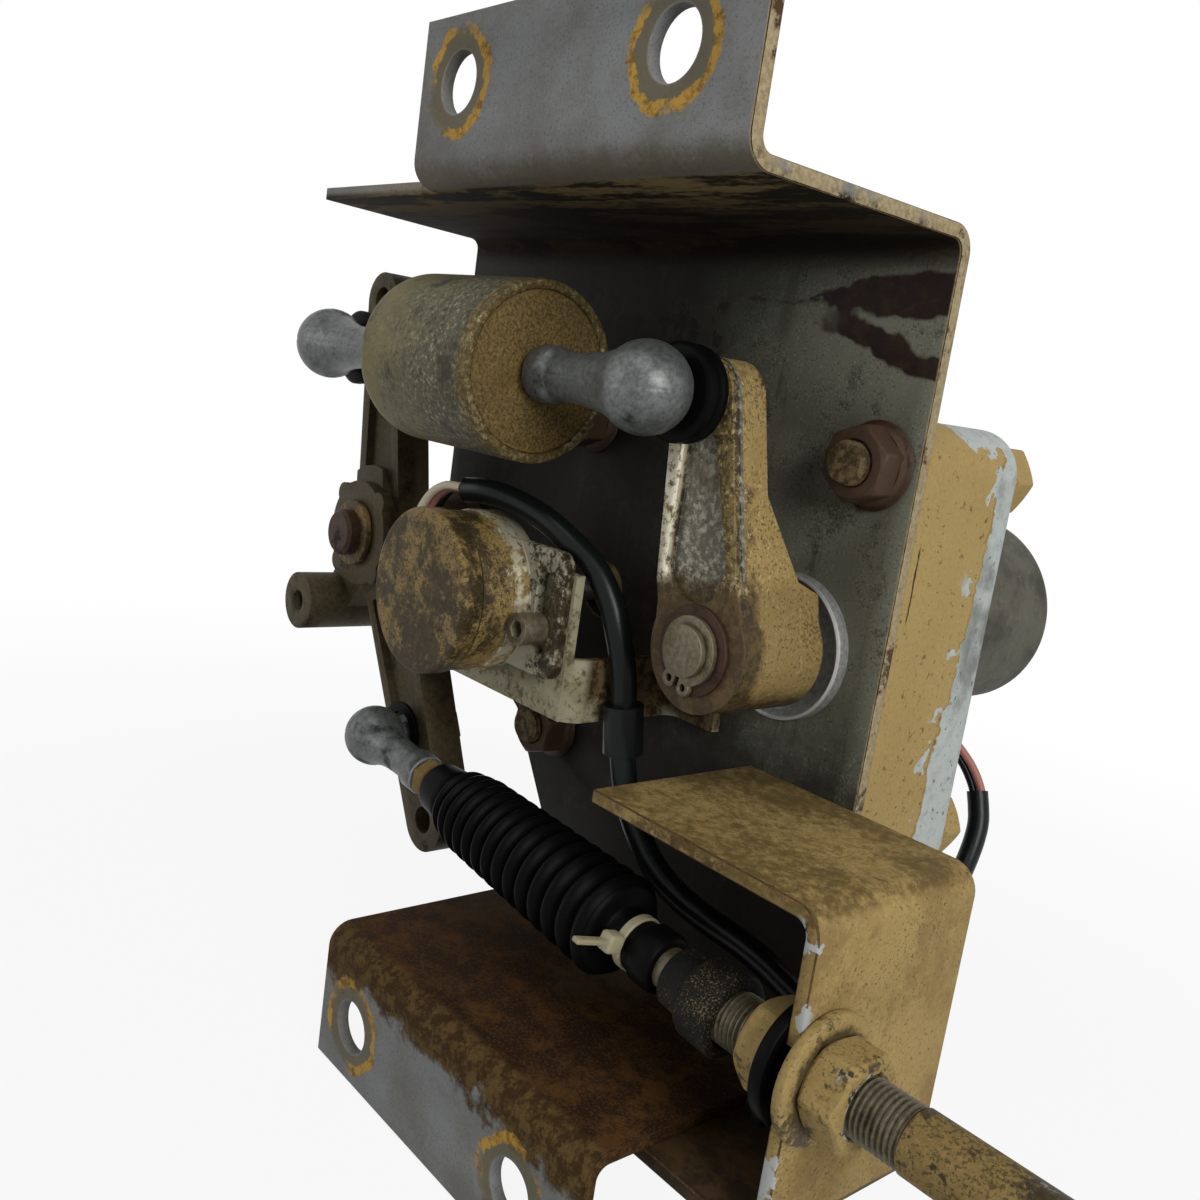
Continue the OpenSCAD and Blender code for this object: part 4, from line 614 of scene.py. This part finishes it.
def bolt_recipe(place):
    y = axes(place)[1]
    color, grain, _ = tan_coat(place, grit=0.4, oil=0.2)
    fine = noise(place, 500, 3, 0.7)
    old = mixed(rise(fine, 0.40, 0.62), (0.034, 0.022, 0.009), (0.140, 0.100, 0.048))
    color = mixed(rise(y, 0.0800, 0.0700), color, old)
    return (grain * 0.6 + fine * 0.4, 0.4, 0.0004), dict(color=color, rough=0.62 + 0.1 * grain)


olive = finish("olive_zinc", capsule_recipe)
bolt_paint = finish("bolt_paint", bolt_recipe)
print("metals ready")

# %% [markdown]
# ## Rubber and plastics
# Old rubber is matt and catches pale grit. The shrunk sleeves on the leads are smoother and shine.


# %% Rubber and plastics
def dusty_recipe(place, color, dust, dusty, rough, size=1100):
    grain = noise(place, size, 3, 0.6)
    cloud = noise(place, 90, 3, 0.6)
    settled = rise(grain + 0.4 * cloud, 1.02 - 0.45 * dusty, 1.14 - 0.35 * dusty)
    return (grain, 0.15, 0.0002), dict(color=mixed(settled, color, dust), rough=rough + 0.25 * settled)


def plastic(name, color, dust, gloss=0.25, **named):
    return finish(name, dusty_recipe, color, dust, gloss=gloss, **named)


rubber = plastic("rubber", (0.0025, 0.0025, 0.0025), (0.070, 0.055, 0.026),
                 dusty=0.27, rough=0.42, size=2200, gloss=0.035)
rubber_dusty = plastic("rubber_dusty", (0.006, 0.006, 0.005), (0.150, 0.118, 0.056),
                       dusty=0.62, rough=0.6, size=2600, gloss=0.08)
sleeve_black = plastic("sleeve_black", (0.005, 0.006, 0.006), (0.05, 0.045, 0.035),
                       dusty=0.12, rough=0.30, gloss=0.16)
connector_black = plastic("connector_black", (0.010, 0.010, 0.010), (0.06, 0.05, 0.04), dusty=0.3, rough=0.45)
wire_white = plastic("wire_white", (0.56, 0.50, 0.37), (0.18, 0.14, 0.08), dusty=0.35, rough=0.45)
wire_pink = plastic("wire_pink", (0.36, 0.15, 0.12), (0.16, 0.10, 0.07), dusty=0.35, rough=0.45)
tie_nylon = plastic("tie_nylon", (0.31, 0.275, 0.175), (0.15, 0.112, 0.055), dusty=0.55, rough=0.42)
print("rubber and plastics ready")

# %% [markdown]
# ## Finishes of the solids
# Every solid takes a finish. Inner pieces and pieces whose shape is already right stay as they are, and
# the others are replaced further down by finer pieces in the same places.

# %% Finishes of the solids
FINISHES = {
    bracket_paint: ["mounting_bracket"],
    cable_paint: ["cable_bracket"],
    case_paint: ["gear_case", "case_plate"],
    motor_grey: ["motor_can"],
    lever_paint: ["drive_lever"],
    sensor_paint: ["sensor_cap", "sensor_body"],
    sensor_blue: ["sensor_bracket"],
    bolt_paint: ["case_bolts"],
    tan_cap: ["link_cap"],
    tan_dirty: ["drive_stud_nut", "rod_nut", "pivot_ring"],
    tan_nut: ["hub_nuts"],
    tan_washer: ["hub_washer"],
    zinc: ["drive_socket", "relay_socket", "cable_socket", "link_stem", "drive_ball_stud",
           "relay_ball_stud", "cable_ball_stud"],
    olive: ["link_capsule"],
    rusty: ["case_nuts", "pivot_post", "bracket_screws", "shaft_washer"],
    greasy: ["output_shaft", "shaft_circlip", "sensor_screws", "swivel_tube", "cable_rod",
             "pivot_nut", "relay_stud_nuts", "link_rod"],
    pipe_steel: ["cable_hub"],
    cast: ["relay_lever"],
    bright_steel: ["shaft_seal"],
    gear_steel: ["sector_gear", "reduction_gear", "motor_rotor", "sensor_shaft", "link_spring"],
    bronze: ["shaft_bush", "relay_bush"],
    rubber: ["link_boots", "cable_socket_boot", "cable_boot", "slot_pad"],
    rubber_dusty: ["swivel_sleeve"],
    sleeve_black: ["lead_joint", "sensor_lead", "motor_lead"],
    connector_black: ["lead_connector"],
    wire_white: ["sensor_wires"],
    tie_nylon: ["boot_tie"],
}
for material, names in FINISHES.items():
    for name in names:
        nodes[name].data.materials.clear()
        nodes[name].data.materials.append(material)
bare = sorted(set(nodes) - {n for names in FINISHES.values() for n in names})
print("dressed", sum(len(n) for n in FINISHES.values()), "solids, bare:", bare)

# %% [markdown]
# ## Leads
# Two sleeved leads and five thin wires are cords. Each is one open Bezier curve along the route of its
# solid, so it lies where the solid does.

# %% Leads
SENSOR_LEAD = [
    (-42, 20, 25), (-36, 22, 25.6), (-29.5, 25.5, 24.6), (-21, 29, 22), (-12.5, 32, 17.6),
    (-6, 35.4, 12.4), (-1.2, 37.4, 6), (2, 39, -2), (3.4, 41, -10), (4, 42.4, -18), (4.4, 43.4, -26),
    (5.4, 44.2, -35), (8.4, 45, -44), (13.4, 46, -52), (20.4, 46.8, -58.4), (29, 48, -62.4),
    (39, 49.4, -64.6), (49, 51, -66.4), (58, 52.4, -69.4), (66, 53, -73), (71, 53, -79.6), (71, 53, -85.7),
]
MOTOR_LEAD = [
    (27, 140, -18), (29, 142.4, -23), (33, 145.6, -29), (38.4, 148.4, -35), (43, 149.4, -42),
    (46, 148, -50), (47.6, 144, -58), (49, 137.4, -66), (51, 128.4, -74), (54, 117, -81),
    (58, 104.4, -86.4), (63, 91, -90), (69, 80, -92), (74, 69.4, -93), (74, 62, -93),
]


def finer(route):
    """Puts a point halfway along each stretch of a route, on the smooth curve through its neighbours."""
    points = [Vector(p) for p in route]
    ends = [2 * points[0] - points[1], *points, 2 * points[-1] - points[-2]]
    made = []
    for a, b, c, d in zip(ends, ends[1:], ends[2:], ends[3:]):
        made += [b, (9 * (b + c) - a - d) / 16]
    return [*made, points[-1]]


def lead(name, route, diameter, material, replaced=()):
    """A cord along a route in millimetres."""
    curve = bpy.data.curves.new(name, "CURVE")
    curve.dimensions = "3D"
    curve.bevel_depth = diameter / 2
    curve.bevel_resolution = 5
    curve.resolution_u = 6
    curve.use_fill_caps = True
    spline = curve.splines.new("BEZIER")
    spline.bezier_points.add(len(route) - 1)
    for point, at in zip(spline.bezier_points, route):
        point.co = Vector(at) / 1000
        point.handle_left_type = point.handle_right_type = "AUTO"
    piece = bpy.data.objects.new(name, curve)
    bpy.context.scene.collection.objects.link(piece)
    curve.materials.append(material)
    bpy.context.view_layer.update()
    points = spline.bezier_points
    for a, b in zip(points[:-1], points[1:]):
        way = geometry.interpolate_bezier(a.co, a.handle_right, b.handle_left, b.co, 12)
    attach(piece, "frame")
    "black_sleeve" if material == sleeve_black else "wires"
    if replaced:
        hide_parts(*replaced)


lead("sensor_sleeve", SENSOR_LEAD, 0.0066, sleeve_black, ["sensor_lead"])
lead("motor_sleeve", finer(MOTOR_LEAD[4:]), 0.0060, sleeve_black, ["motor_lead"])
for name, aside, material in (("motor_wire_pink", 1.2, wire_pink), ("motor_wire_black", -1.2, sleeve_black)):
    way = [Vector(p) + Vector((aside, 0, 0.4 * aside)) for p in MOTOR_LEAD[:6]]
    lead(name, finer(finer(way)), 0.0023, material)

WIRES_AT = Vector((-38.1, 20, -0.6))
WIRE_RISE = [(-19.6, 0), (-22.6, 4.4), (-23, 11), (-20.6, 17.6), (-16, 22.6), (-10, 25.2), (-3.9, 25.6)]
WIRES = [("wire_front", 1, wire_white), ("wire_middle", 0, wire_pink), ("wire_rear", -1, sleeve_black)]
for name, side, material in WIRES:
    way = [WIRES_AT + Vector((dx, -3 * side + 0.15 * side * i, dz + 0.1 * abs(side) * i))
           for i, (dx, dz) in enumerate(WIRE_RISE)]
    lead(name, finer(finer(way)), 0.0022, material, ["sensor_wires"] if side == 1 else ())

# %% [markdown]
# ## Softened castings and sheets
# A solid from the CAD has knife edges, while castings and sawn sheet have small rounds that catch the
# light. A copy of the solid's mesh is merged, its flat triangles are joined, and its sharp edges are
# bevelled by a width in millimetres. That keeps the shape, place and finish of the solid. Each new mesh
# also keeps how sharply it bends at every point, which the finishes read as worn edges, and on the
# sensor and the nuts also as painted highlights.

# %% Rounded copies
BODY = {n: b for b, names in frame["record"]["behaviour"]["bodies"].items() for n in names}
BEND_SPAN, BEND_LIMIT = 14, 56


def new_piece(name, bm, body, material, replaced=(), unit=0.001, smooth=38, keen=26, like=None):
    """Puts a bmesh into the scene as a piece of a body, in place of some solids."""
    bmesh.ops.scale(bm, vec=(unit, unit, unit), verts=bm.verts)
    edge = bm.verts.layers.float.new("edge")
    for v in bm.verts:
        leans = [e.calc_face_angle_signed(0) for e in v.link_edges if e.is_manifold]
        lean = degrees(max(leans, default=0))
        v[edge] = min(max((lean - keen) / BEND_SPAN, 0), 1) if lean < BEND_LIMIT else 0
    mesh = bpy.data.meshes.new(name)
    bm.to_mesh(mesh)
    bm.free()
    mesh.shade_smooth()
    mesh.set_sharp_from_angle(angle=radians(smooth))
    mesh.materials.append(material)
    made = bpy.data.objects.new(name, mesh)
    bpy.context.scene.collection.objects.link(made)
    if body:
        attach(made, body)
    if replaced:
        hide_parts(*replaced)
    return made


def soften(bm, width, lean=26, segments=2, among=None):
    """Bevels the edges whose faces lean apart by more than an angle."""
    sharp = [e for e in among or bm.edges if e.is_manifold and e.calc_face_angle() > radians(lean)]
    bmesh.ops.bevel(bm, geom=sharp, offset=width, offset_type="OFFSET", segments=segments, profile=0.5,
                    affect="EDGES", clamp_overlap=True, material=-1)


def rounded(node, width):
    """A softened copy of a solid, in its place and with its finish."""
    bm = bmesh.new()
    bm.from_mesh(nodes[node].data)
    bmesh.ops.remove_doubles(bm, verts=bm.verts, dist=2e-6)
    bmesh.ops.dissolve_limit(bm, angle_limit=radians(0.6), verts=bm.verts, edges=bm.edges)
    soften(bm, width / 1000)
    return new_piece(node + "_soft", bm, BODY[node], nodes[node].data.materials[0], [node], unit=1)


SOFT = {
    "mounting_bracket": 0.45, "cable_bracket": 0.45, "drive_lever": 0.9, "relay_lever": 1.0,
    "sensor_body": 0.4, "sensor_bracket": 0.35, "sensor_cap": 0.4, "sensor_screws": 0.5,
    "link_capsule": 0.7, "link_cap": 0.4, "hub_washer": 0.7, "slot_pad": 0.5, "shaft_washer": 0.3,
    "shaft_circlip": 0.3, "output_shaft": 0.7, "pivot_ring": 0.4, "lead_connector": 0.8,
    "drive_stud_nut": 0.5, "relay_stud_nuts": 0.5, "rod_nut": 0.5, "pivot_nut": 0.6, "bracket_screws": 0.5,
}
for node, width in SOFT.items():
    made = rounded(node, width)
    print(made.name, len(made.data.polygons), "faces")

# %% [markdown]
# ## Turned parts, nuts and threads
# Ball sockets, boots and rings are turned shapes: a few points make the profile and a spin makes the
# body. A nut starts as a hexagon, and each point of its end rings is lowered by how far it stands
# outside a circle, which is what a turning tool's chamfer does to a real nut. A screw thread is one
# tooth of the profile spun once while it climbs, and repeated.

# %% Turning, hexagons and threads
RIGHT, BACK, UP = (1, 0, 0), (0, 1, 0), (0, 0, 1)


def stand(at, along, toward):
    """Carries the Z axis to along and the Y axis to toward, at a point."""
    z = Vector(along).normalized()
    y = (Vector(toward) - z * Vector(toward).dot(z)).normalized()
    return placed(y.cross(z), y, z, at)


def settle(part, where, bm):
    """Closes a part, turns its faces outwards, carries it to its place and adds it to a piece."""
    bmesh.ops.remove_doubles(part, verts=part.verts, dist=2e-4)
    bmesh.ops.recalc_face_normals(part, faces=part.faces)
    bmesh.ops.transform(part, matrix=where, verts=part.verts)
    mesh = bpy.data.meshes.new("part")
    part.to_mesh(mesh)
    part.free()
    bm.from_mesh(mesh)
    bpy.data.meshes.remove(mesh)


def spun(profile, steps, climb=0):
    """A profile of (height, radius) points after one turn round Z, which may climb."""
    part = bmesh.new()
    points = [part.verts.new((r, 0, d)) for d, r in profile]
    lines = [part.edges.new(pair) for pair in zip(points[:-1], points[1:])]
    bmesh.ops.spin(part, geom=points + lines, cent=(0, 0, 0), axis=UP, angle=2 * pi, steps=steps,
                   dvec=(0, 0, climb / steps), use_merge=not climb)
    return part


def turned(bm, profile, where, steps=64):
    """Adds a turned body to a piece, at its place."""
    settle(spun(profile, steps), where, bm)


CHAMFER_CIRCLE, CHAMFER_SLOPE = 0.955, radians(30)


def hexagon(bm, across, thick, bore, where):
    """A nut, or a bolt's head where the bore is 0, with turned chamfers on both ends."""
    part = bmesh.new()
    bmesh.ops.create_circle(part, segments=6, radius=across / sqrt(3))
    bmesh.ops.subdivide_edges(part, edges=part.edges[:], cuts=7)
    ring = part.edges[:]
    inside = CHAMFER_CIRCLE * across / 2

    def dip(co):
        return (sqrt(co.x ** 2 + co.y ** 2) - inside) * tan(CHAMFER_SLOPE)

    def at_radius(co, r, z):
        return Vector((co.x, co.y, 0)).normalized() * r + Vector((0, 0, z))

    def grow(rim, move):
        made = bmesh.ops.extrude_edge_only(part, edges=rim)["geom"]
        fresh = {v for v in made if isinstance(v, bmesh.types.BMVert)}
        for v in fresh:
            v.co = move(v.co)
        return [e for e in made if isinstance(e, bmesh.types.BMEdge) and set(e.verts) <= fresh]

    for v in part.verts:
        v.co.z = dip(v.co)
    top = grow(ring, lambda co: Vector((co.x, co.y, thick - dip(co))))
    top = grow(top, lambda co: at_radius(co, inside, thick))
    low = grow(ring, lambda co: at_radius(co, inside, 0))
    if bore:
        top = grow(top, lambda co: at_radius(co, bore, thick))
        low = grow(low, lambda co: at_radius(co, bore, 0))
        bmesh.ops.bridge_loops(part, edges=top + low)
    else:
        for loop in (top, low):
            bmesh.ops.edgeloop_fill(part, edges=loop)
    bmesh.ops.recalc_face_normals(part, faces=part.faces)
    soften(part, 0.03 * across, 48, 1)
    settle(part, where, bm)


def everything(bm):
    return bm.verts[:] + bm.edges[:] + bm.faces[:]


def repeat(bm, moves):
    """Copies a whole bmesh to further places."""
    geom = everything(bm)
    for move in moves:
        copy = bmesh.ops.duplicate(bm, geom=geom)["geom"]
        bmesh.ops.translate(bm, vec=move, verts=[v for v in copy if isinstance(v, bmesh.types.BMVert)])


def cut_off(bm, at, away):
    """Removes what lies beyond a plane and closes the cut."""
    cut = bmesh.ops.bisect_plane(bm, geom=everything(bm), plane_co=at, plane_no=away, clear_outer=True)
    rim = [e for e in cut["geom_cut"] if isinstance(e, bmesh.types.BMEdge)]
    bmesh.ops.edgeloop_fill(bm, edges=rim)
    return rim


THREAD_STEPS = 28


def thread(bm, radius, pitch, length, where, depth=None):
    """A screw thread with flat ends, standing on Z = 0."""
    root = radius - (depth or 0.6 * pitch)
    tooth = [(0, root), (0.12, root), (0.45, radius), (0.55, radius), (0.88, root), (1, root)]
    part = spun([(pitch * (d - 1.5), r) for d, r in tooth], THREAD_STEPS, pitch)
    repeat(part, [(0, 0, pitch * k) for k in range(1, int(length / pitch) + 3)])
    bmesh.ops.remove_doubles(part, verts=part.verts, dist=1e-3)
    cut_off(part, (0, 0, 0), (0, 0, -1))
    cut_off(part, (0, 0, length), UP)
    settle(part, where, bm)


print("turning helpers ready")

# %% [markdown]
# ## Ball sockets
# Each end of the link and of the cable has a die-cast zinc socket: a bulb round the ball, a waist and a
# collar for the rod. The waist is one Bezier curve from the bulb to the collar, the whole is spun, and
# a plane cuts the flat where the rubber boot sits.

# %% Ball sockets
DRIVE_BALL = (22.272, 18, 56.941)
RELAY_BALL = (-119.528, 18, 56.941)
CABLE_BALL = (-79.080, 23.5, -53.981)
TILT = radians(4.344)
CABLE_WAY = (cos(TILT), 0, -sin(TILT))
SLIM = 0.86
BULB_END, SEAM_HIGH = radians(63), 0.16


def ball_socket(name, ball, way, length, body, node, share=1.0):
    bm = bmesh.new()
    seam = Vector(way).normalized().cross(Vector(BACK))
    bulb, waist, collar = 10.2 * share, 5.6 * share, 6.7 * share
    profile = [(bulb * cos(radians(a)), bulb * sin(radians(a))) for a in range(180, 62, -6)]
    start = Vector((bulb * cos(BULB_END), bulb * sin(BULB_END), 0))
    lean = Vector((sin(BULB_END), -cos(BULB_END), 0))
    end = Vector((length - 8.2, waist, 0))
    way_out = geometry.interpolate_bezier(start, start + lean * 6, end - Vector((8, 0, 0)), end, 14)
    profile += [(p.x, p.y) for p in way_out]
    profile += [(length - 7.2, waist + 0.1), (length - 6.2, collar - 0.35), (length - 5.6, collar),
                (length - 1, collar), (length - 0.3, collar - 0.25), (length, collar - 0.8), (length, 0)]
    turned(bm, profile, stand(ball, way, BACK), 88)
    for v in bm.verts:
        if abs((v.co - Vector(ball)).dot(seam)) < 0.02 and abs(v.co.y - ball[1]) > 2:
            v.co.y += -SEAM_HIGH if v.co.y > ball[1] else SEAM_HIGH
    soften(bm, 0.5, 40, 2, cut_off(bm, (0, ball[1] + 8, 0), BACK))
    new_piece(name, bm, body, zinc, [node])


ball_socket("drive_ball_socket", DRIVE_BALL, (-1, 0, 0), 36, "link", "drive_socket")
ball_socket("relay_ball_socket", RELAY_BALL, RIGHT, 36, "link", "relay_socket")
ball_socket("cable_ball_socket", CABLE_BALL, CABLE_WAY, 29.7, "cable", "cable_socket", SLIM)
print("three ball sockets")

# %% [markdown]
# ## Rubber boots
# A small boot seals each ball, with a groove round it. The long bellows on the cable has folds that
# grow towards its fixed end. Its ends belong to two bodies that slide apart. A rubber barrel follows it
# on the swivel.

# %% Rubber boots
BOOT_DEEP = 7.25


def small_boot(bm, ball, front, deep=BOOT_DEEP, bore=4.4, share=1.0):
    profile = [(0, bore), (0, 9.6), (0.25, 10.5), (0.8, 11.0), (2.4, 11.0), (2.9, 10.5), (3.3, 9.9),
               (3.9, 9.9), (4.3, 10.5), (4.8, 10.9), (6.2, 10.6), (6.9, 10.0), (BOOT_DEEP, 9.2),
               (BOOT_DEEP, bore), (0, bore)]
    profile = [(d * deep / BOOT_DEEP, max(r * share, bore)) for d, r in profile]
    turned(bm, profile, stand((ball[0], front, ball[2]), BACK, UP), 56)


boots = bmesh.new()
small_boot(boots, DRIVE_BALL, 26)
small_boot(boots, RELAY_BALL, 26)
new_piece("link_ball_boots", boots, "link", rubber, ["link_boots"])
boots = bmesh.new()
small_boot(boots, CABLE_BALL, 31.5, 1.75, 6.6, SLIM)
new_piece("cable_ball_boot", boots, "cable", rubber, ["cable_socket_boot"])

ALONG_CABLE = stand(CABLE_BALL, CABLE_WAY, BACK)
BELLOWS_FROM, BELLOWS_TO, FOLDS, FOLD_DEEP = 46.5, 114.5, 14, 3.2
POINTS = FOLDS * 8


def fold_place(k):
    return BELLOWS_FROM + (BELLOWS_TO - BELLOWS_FROM) * (0.76 * k + 0.24 * k * k)


bellows = bmesh.new()
profile = [(36, 2.8), (36, 6.0), (36.5, 6.7), (37.4, 7.0), (43.6, 7.7), (45.4, 7.9), (46.1, 7.5)]
for i in range(POINTS):
    k = (i + 0.5) / POINTS
    crest = 9.3 + 1.3 * min(6 * k, 1) + 1.9 * k
    profile.append((fold_place(k), crest - FOLD_DEEP * (1 - abs(sin(pi * k * FOLDS)) ** 1.1)))
profile += [(113.6, 11.2), (114.3, 10.6), (114.6, 9.6), (114.8, 7.2), (115.3, 6.3), (116.2, 6.05),
            (117.6, 6.05), (122, 6.05), (123.2, 6.6), (124, 7.0), (128.6, 7.0), (129.6, 6.6), (130, 6.0),
            (130, 4.86), (46, 4.86), (44, 2.8), (36, 2.8)]
turned(bellows, profile, ALONG_CABLE, 60)
bellows = new_piece("cable_bellows", bellows, None, rubber, ["cable_boot"], smooth=50)
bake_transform(bellows)
barrel = bmesh.new()
profile = [(133.2, 4.95), (133.2, 6.3), (133.8, 6.8), (139, 7.0), (140.2, 7.6), (141, 8.8), (141.8, 9.2),
           (149.2, 9.2), (149.9, 8.8), (150.2, 8.0), (150.2, 6.7), (141.2, 6.7), (139.2, 4.95), (133.2, 4.95)]
turned(barrel, profile, ALONG_CABLE, 60)
new_piece("swivel_barrel", barrel, "swivel", rubber_dusty, ["swivel_sleeve"])
print("bellows", len(bellows.data.polygons), "faces, boots on three balls, swivel barrel")

# %% [markdown]
# ## Cable hub and fasteners
# The cable's hub is a threaded sleeve with a pipe, held in the bracket's slot by two hexagon nuts. The
# same helpers make the case's flange nuts and bolts and the link's threaded stem with its lock nut.

# %% Cable hub and fasteners
CRISP = {"smooth": 25, "keen": 20}


def on_hub(x):
    """A place on the hub's axis."""
    return stand((x, HUB_Y * 1000, HUB_Z * 1000), RIGHT, BACK)


hub_thread = bmesh.new()
thread(hub_thread, 6.2, 1.25, 53.2, on_hub(61), 0.7)
new_piece("hub_thread", hub_thread, "frame", greasy, ["cable_hub"])
hub_pipe = bmesh.new()
turned(hub_pipe, [(0, 0), (0, 5.9), (0.4, 6.4), (35.2, 6.4), (35.8, 5.9), (35.8, 4.9), (35.4, 4.5),
                  (19.8, 4.5), (19.8, 0)], on_hub(114.2))
new_piece("hub_pipe", hub_pipe, "frame", pipe_steel, like="cable_hub")
hub_nuts = bmesh.new()
hexagon(hub_nuts, 18, 7.4, 6.2, on_hub(78.6))
hexagon(hub_nuts, 18, 9, 6.2, on_hub(94.8))
new_piece("hub_hex_nuts", hub_nuts, "frame", tan_nut, ["hub_nuts"], **CRISP)

BOLT_AT = (47.4, 0, 47.2)
OTHER_BOLTS = [(-98.5, 0, 0), (0, 0, -92), (-98.5, 0, -92)]
flange_nuts, bolts = bmesh.new(), bmesh.new()


def behind(y, corner=UP):
    """A place on the first case bolt's axis, y behind the mounting face."""
    return stand((BOLT_AT[0], y, BOLT_AT[2]), BACK, corner)


turned(flange_nuts, [(8, 5.1), (8, 10), (7.4, 10.3), (6.9, 10.1), (5.2, 8.4), (5.2, 5.1), (8, 5.1)],
       behind(60))
hexagon(flange_nuts, 16, 8, 5.1, behind(59, (1, 0, 0.35)))
thread(bolts, 5.0, 1.5, 10.4, behind(56.6))
turned(bolts, [(0, 0), (0, 5), (46.4, 5), (46.4, 0)], behind(67), 32)
turned(bolts, [(0, 0), (0, 8.5), (0.8, 8.5), (1.2, 8), (1.2, 0)], behind(113.2), 40)
hexagon(bolts, 16, 7.8, 0, behind(114, RIGHT))
for made in (flange_nuts, bolts):
    repeat(made, OTHER_BOLTS)
new_piece("case_flange_nuts", flange_nuts, "frame", rusty, ["case_nuts"], **CRISP)
new_piece("case_hex_bolts", bolts, "frame", bolt_paint, ["case_bolts"], **CRISP)


def on_link(x):
    """A place on the link's axis."""
    return stand((x, *RELAY_BALL[1:]), RIGHT, UP)


stem = bmesh.new()
thread(stem, 4.0, 1.25, 25, on_link(-92))
hexagon(stem, 12.8, 6.4, 4.0, on_link(-83.2))
new_piece("link_thread", stem, "link", zinc, ["link_stem"], **CRISP)
print("hub, nuts, bolts and stem")

# %% [markdown]
# ## Cable tie
# A nylon tie holds the bellows' neck. Its strap is a turned band, and its lock and cut tail are small
# blocks with rounded edges.


# %% Cable tie
def block(bm, low, size, where, rounding):
    """A box with rounded edges."""
    part = bmesh.new()
    bmesh.ops.create_cube(part, size=1, matrix=Matrix.Translation(Vector(low) + Vector(size) / 2)
                          @ Matrix.Diagonal((*size, 1)))
    soften(part, rounding, 30, 3)
    settle(part, where, bm)


on_cable = Matrix.Translation(CABLE_BALL) @ Matrix.Rotation(TILT, 4, "Y") @ Matrix.Translation((118.5, 0, 0))
on_cable = on_cable @ Matrix.Rotation(radians(-15), 4, "X")
tie = bmesh.new()
turned(tie, [(0, 6.05), (0, 6.3), (0.3, 6.55), (2.1, 6.55), (2.4, 6.3), (2.4, 6.05), (0, 6.05)],
       on_cable @ stand((0, 0, 0), RIGHT, UP), 56)
block(tie, (-0.7, -11.05, -2.2), (4.0, 4.6, 4.4), on_cable, 0.9)
block(tie, (0.2, -20.0, -0.6), (2.2, 9.6, 1.2), on_cable, 0.35)
new_piece("neck_tie", tie, "swivel", tie_nylon, ["boot_tie"])
print("cable tie")

# %% [markdown]
# ## Shaft seal
# A bright pressed ring with a rolled rim surrounds the output shaft behind the lever.

# %% Shaft seal
seal = bmesh.new()
turned(seal, [(68, 7.4), (65.9, 7.4), (65.7, 8.0), (65.9, 9.0), (65.9, 15.2), (65.4, 16.0), (64.9, 16.6),
              (64.6, 17.2), (64.8, 17.8), (65.3, 18.0), (68, 18.0), (68, 7.4)],
       stand((SHAFT_X * 1000, 0, SHAFT_Z * 1000), BACK, UP), 80)
new_piece("shaft_seal_ring", seal, "frame", bright_steel, ["shaft_seal"])
print("shaft seal")

# %% [markdown]
# ## Light and background
# A big soft lamp on the right, a weaker one above and one at the front left give the photo's shading.
# The floor is pale, and it and the sky turn white only where the camera, a reflection or a clear
# material looks at them, so the soft shadow stays and the light on the object stays low.

# %% Light and background
stage_floor = bmesh.new()
bmesh.ops.create_grid(stage_floor, x_segments=1, y_segments=1, size=6,
                      matrix=Matrix.Translation((0, 0, cad_box[0][2] - 0.001)))
floor_mesh = bpy.data.meshes.new("floor")
stage_floor.to_mesh(floor_mesh)
stage_floor.free()
floor = bpy.data.objects.new("floor", floor_mesh)
bpy.context.scene.collection.objects.link(floor)


def looked_at(socket):
    """1 where the camera, a reflection or a clear material looks, and 0 for light on the object."""
    rays = [socket.node("LightPath", out=f"Is {kind} Ray") for kind in ("Camera", "Glossy", "Transmission")]
    return rays[0].top(rays[1]).top(rays[2])


WHITE, FLOOR_GREY = (1, 1, 1, 1), (0.55, 0.55, 0.55, 1)
white, shader, place = blank("white_floor")
shader.inputs["Base Color"].default_value = FLOOR_GREY
glow = place.node("Emission", inputs={"Color": WHITE, "Strength": 1.0})
plain = Socket(place.tree, shader.outputs[0])
away = place.node("VectorMath", {"operation": "LENGTH"}, {0: place}, out="Value")
shown = looked_at(place) * (0.90 + 0.10 * rise(away, 0.25, 0.7))
both = place.node("MixShader", inputs={0: shown, 1: plain, 2: glow})
both.feed(place.tree.nodes["Material Output"], {"Surface": both})
floor_mesh.materials.append(white)

world = bpy.data.worlds.new("studio")
bpy.context.scene.world = world
world.use_nodes = True
sky = Socket(world.node_tree)
sky.feed(world.node_tree.nodes["Background"], {"Color": WHITE, "Strength": 0.16 + looked_at(sky) * 0.84})
LAMPS_AIM = Vector((0, 0.05, 0))


def soft_light(name, at, size, watts):
    lamp = bpy.data.lights.new(name, "AREA")
    lamp.shape, lamp.size, lamp.energy = "DISK", size, watts
    made = bpy.data.objects.new(name, lamp)
    made.location = at
    made.rotation_euler = (LAMPS_AIM - Vector(at)).to_track_quat("-Z", "Y").to_euler()
    bpy.context.scene.collection.objects.link(made)


soft_light("key_right", (1.05, -0.25, 0.42), 0.6, 9.5)
soft_light("fill_above", (0.25, -0.35, 1.1), 0.7, 3.2)
soft_light("fill_front_left", (-0.55, -0.9, 0.25), 0.7, 2.2)
bpy.context.scene.view_settings.view_transform = "Standard"
print("floor, backdrop and three soft lamps")
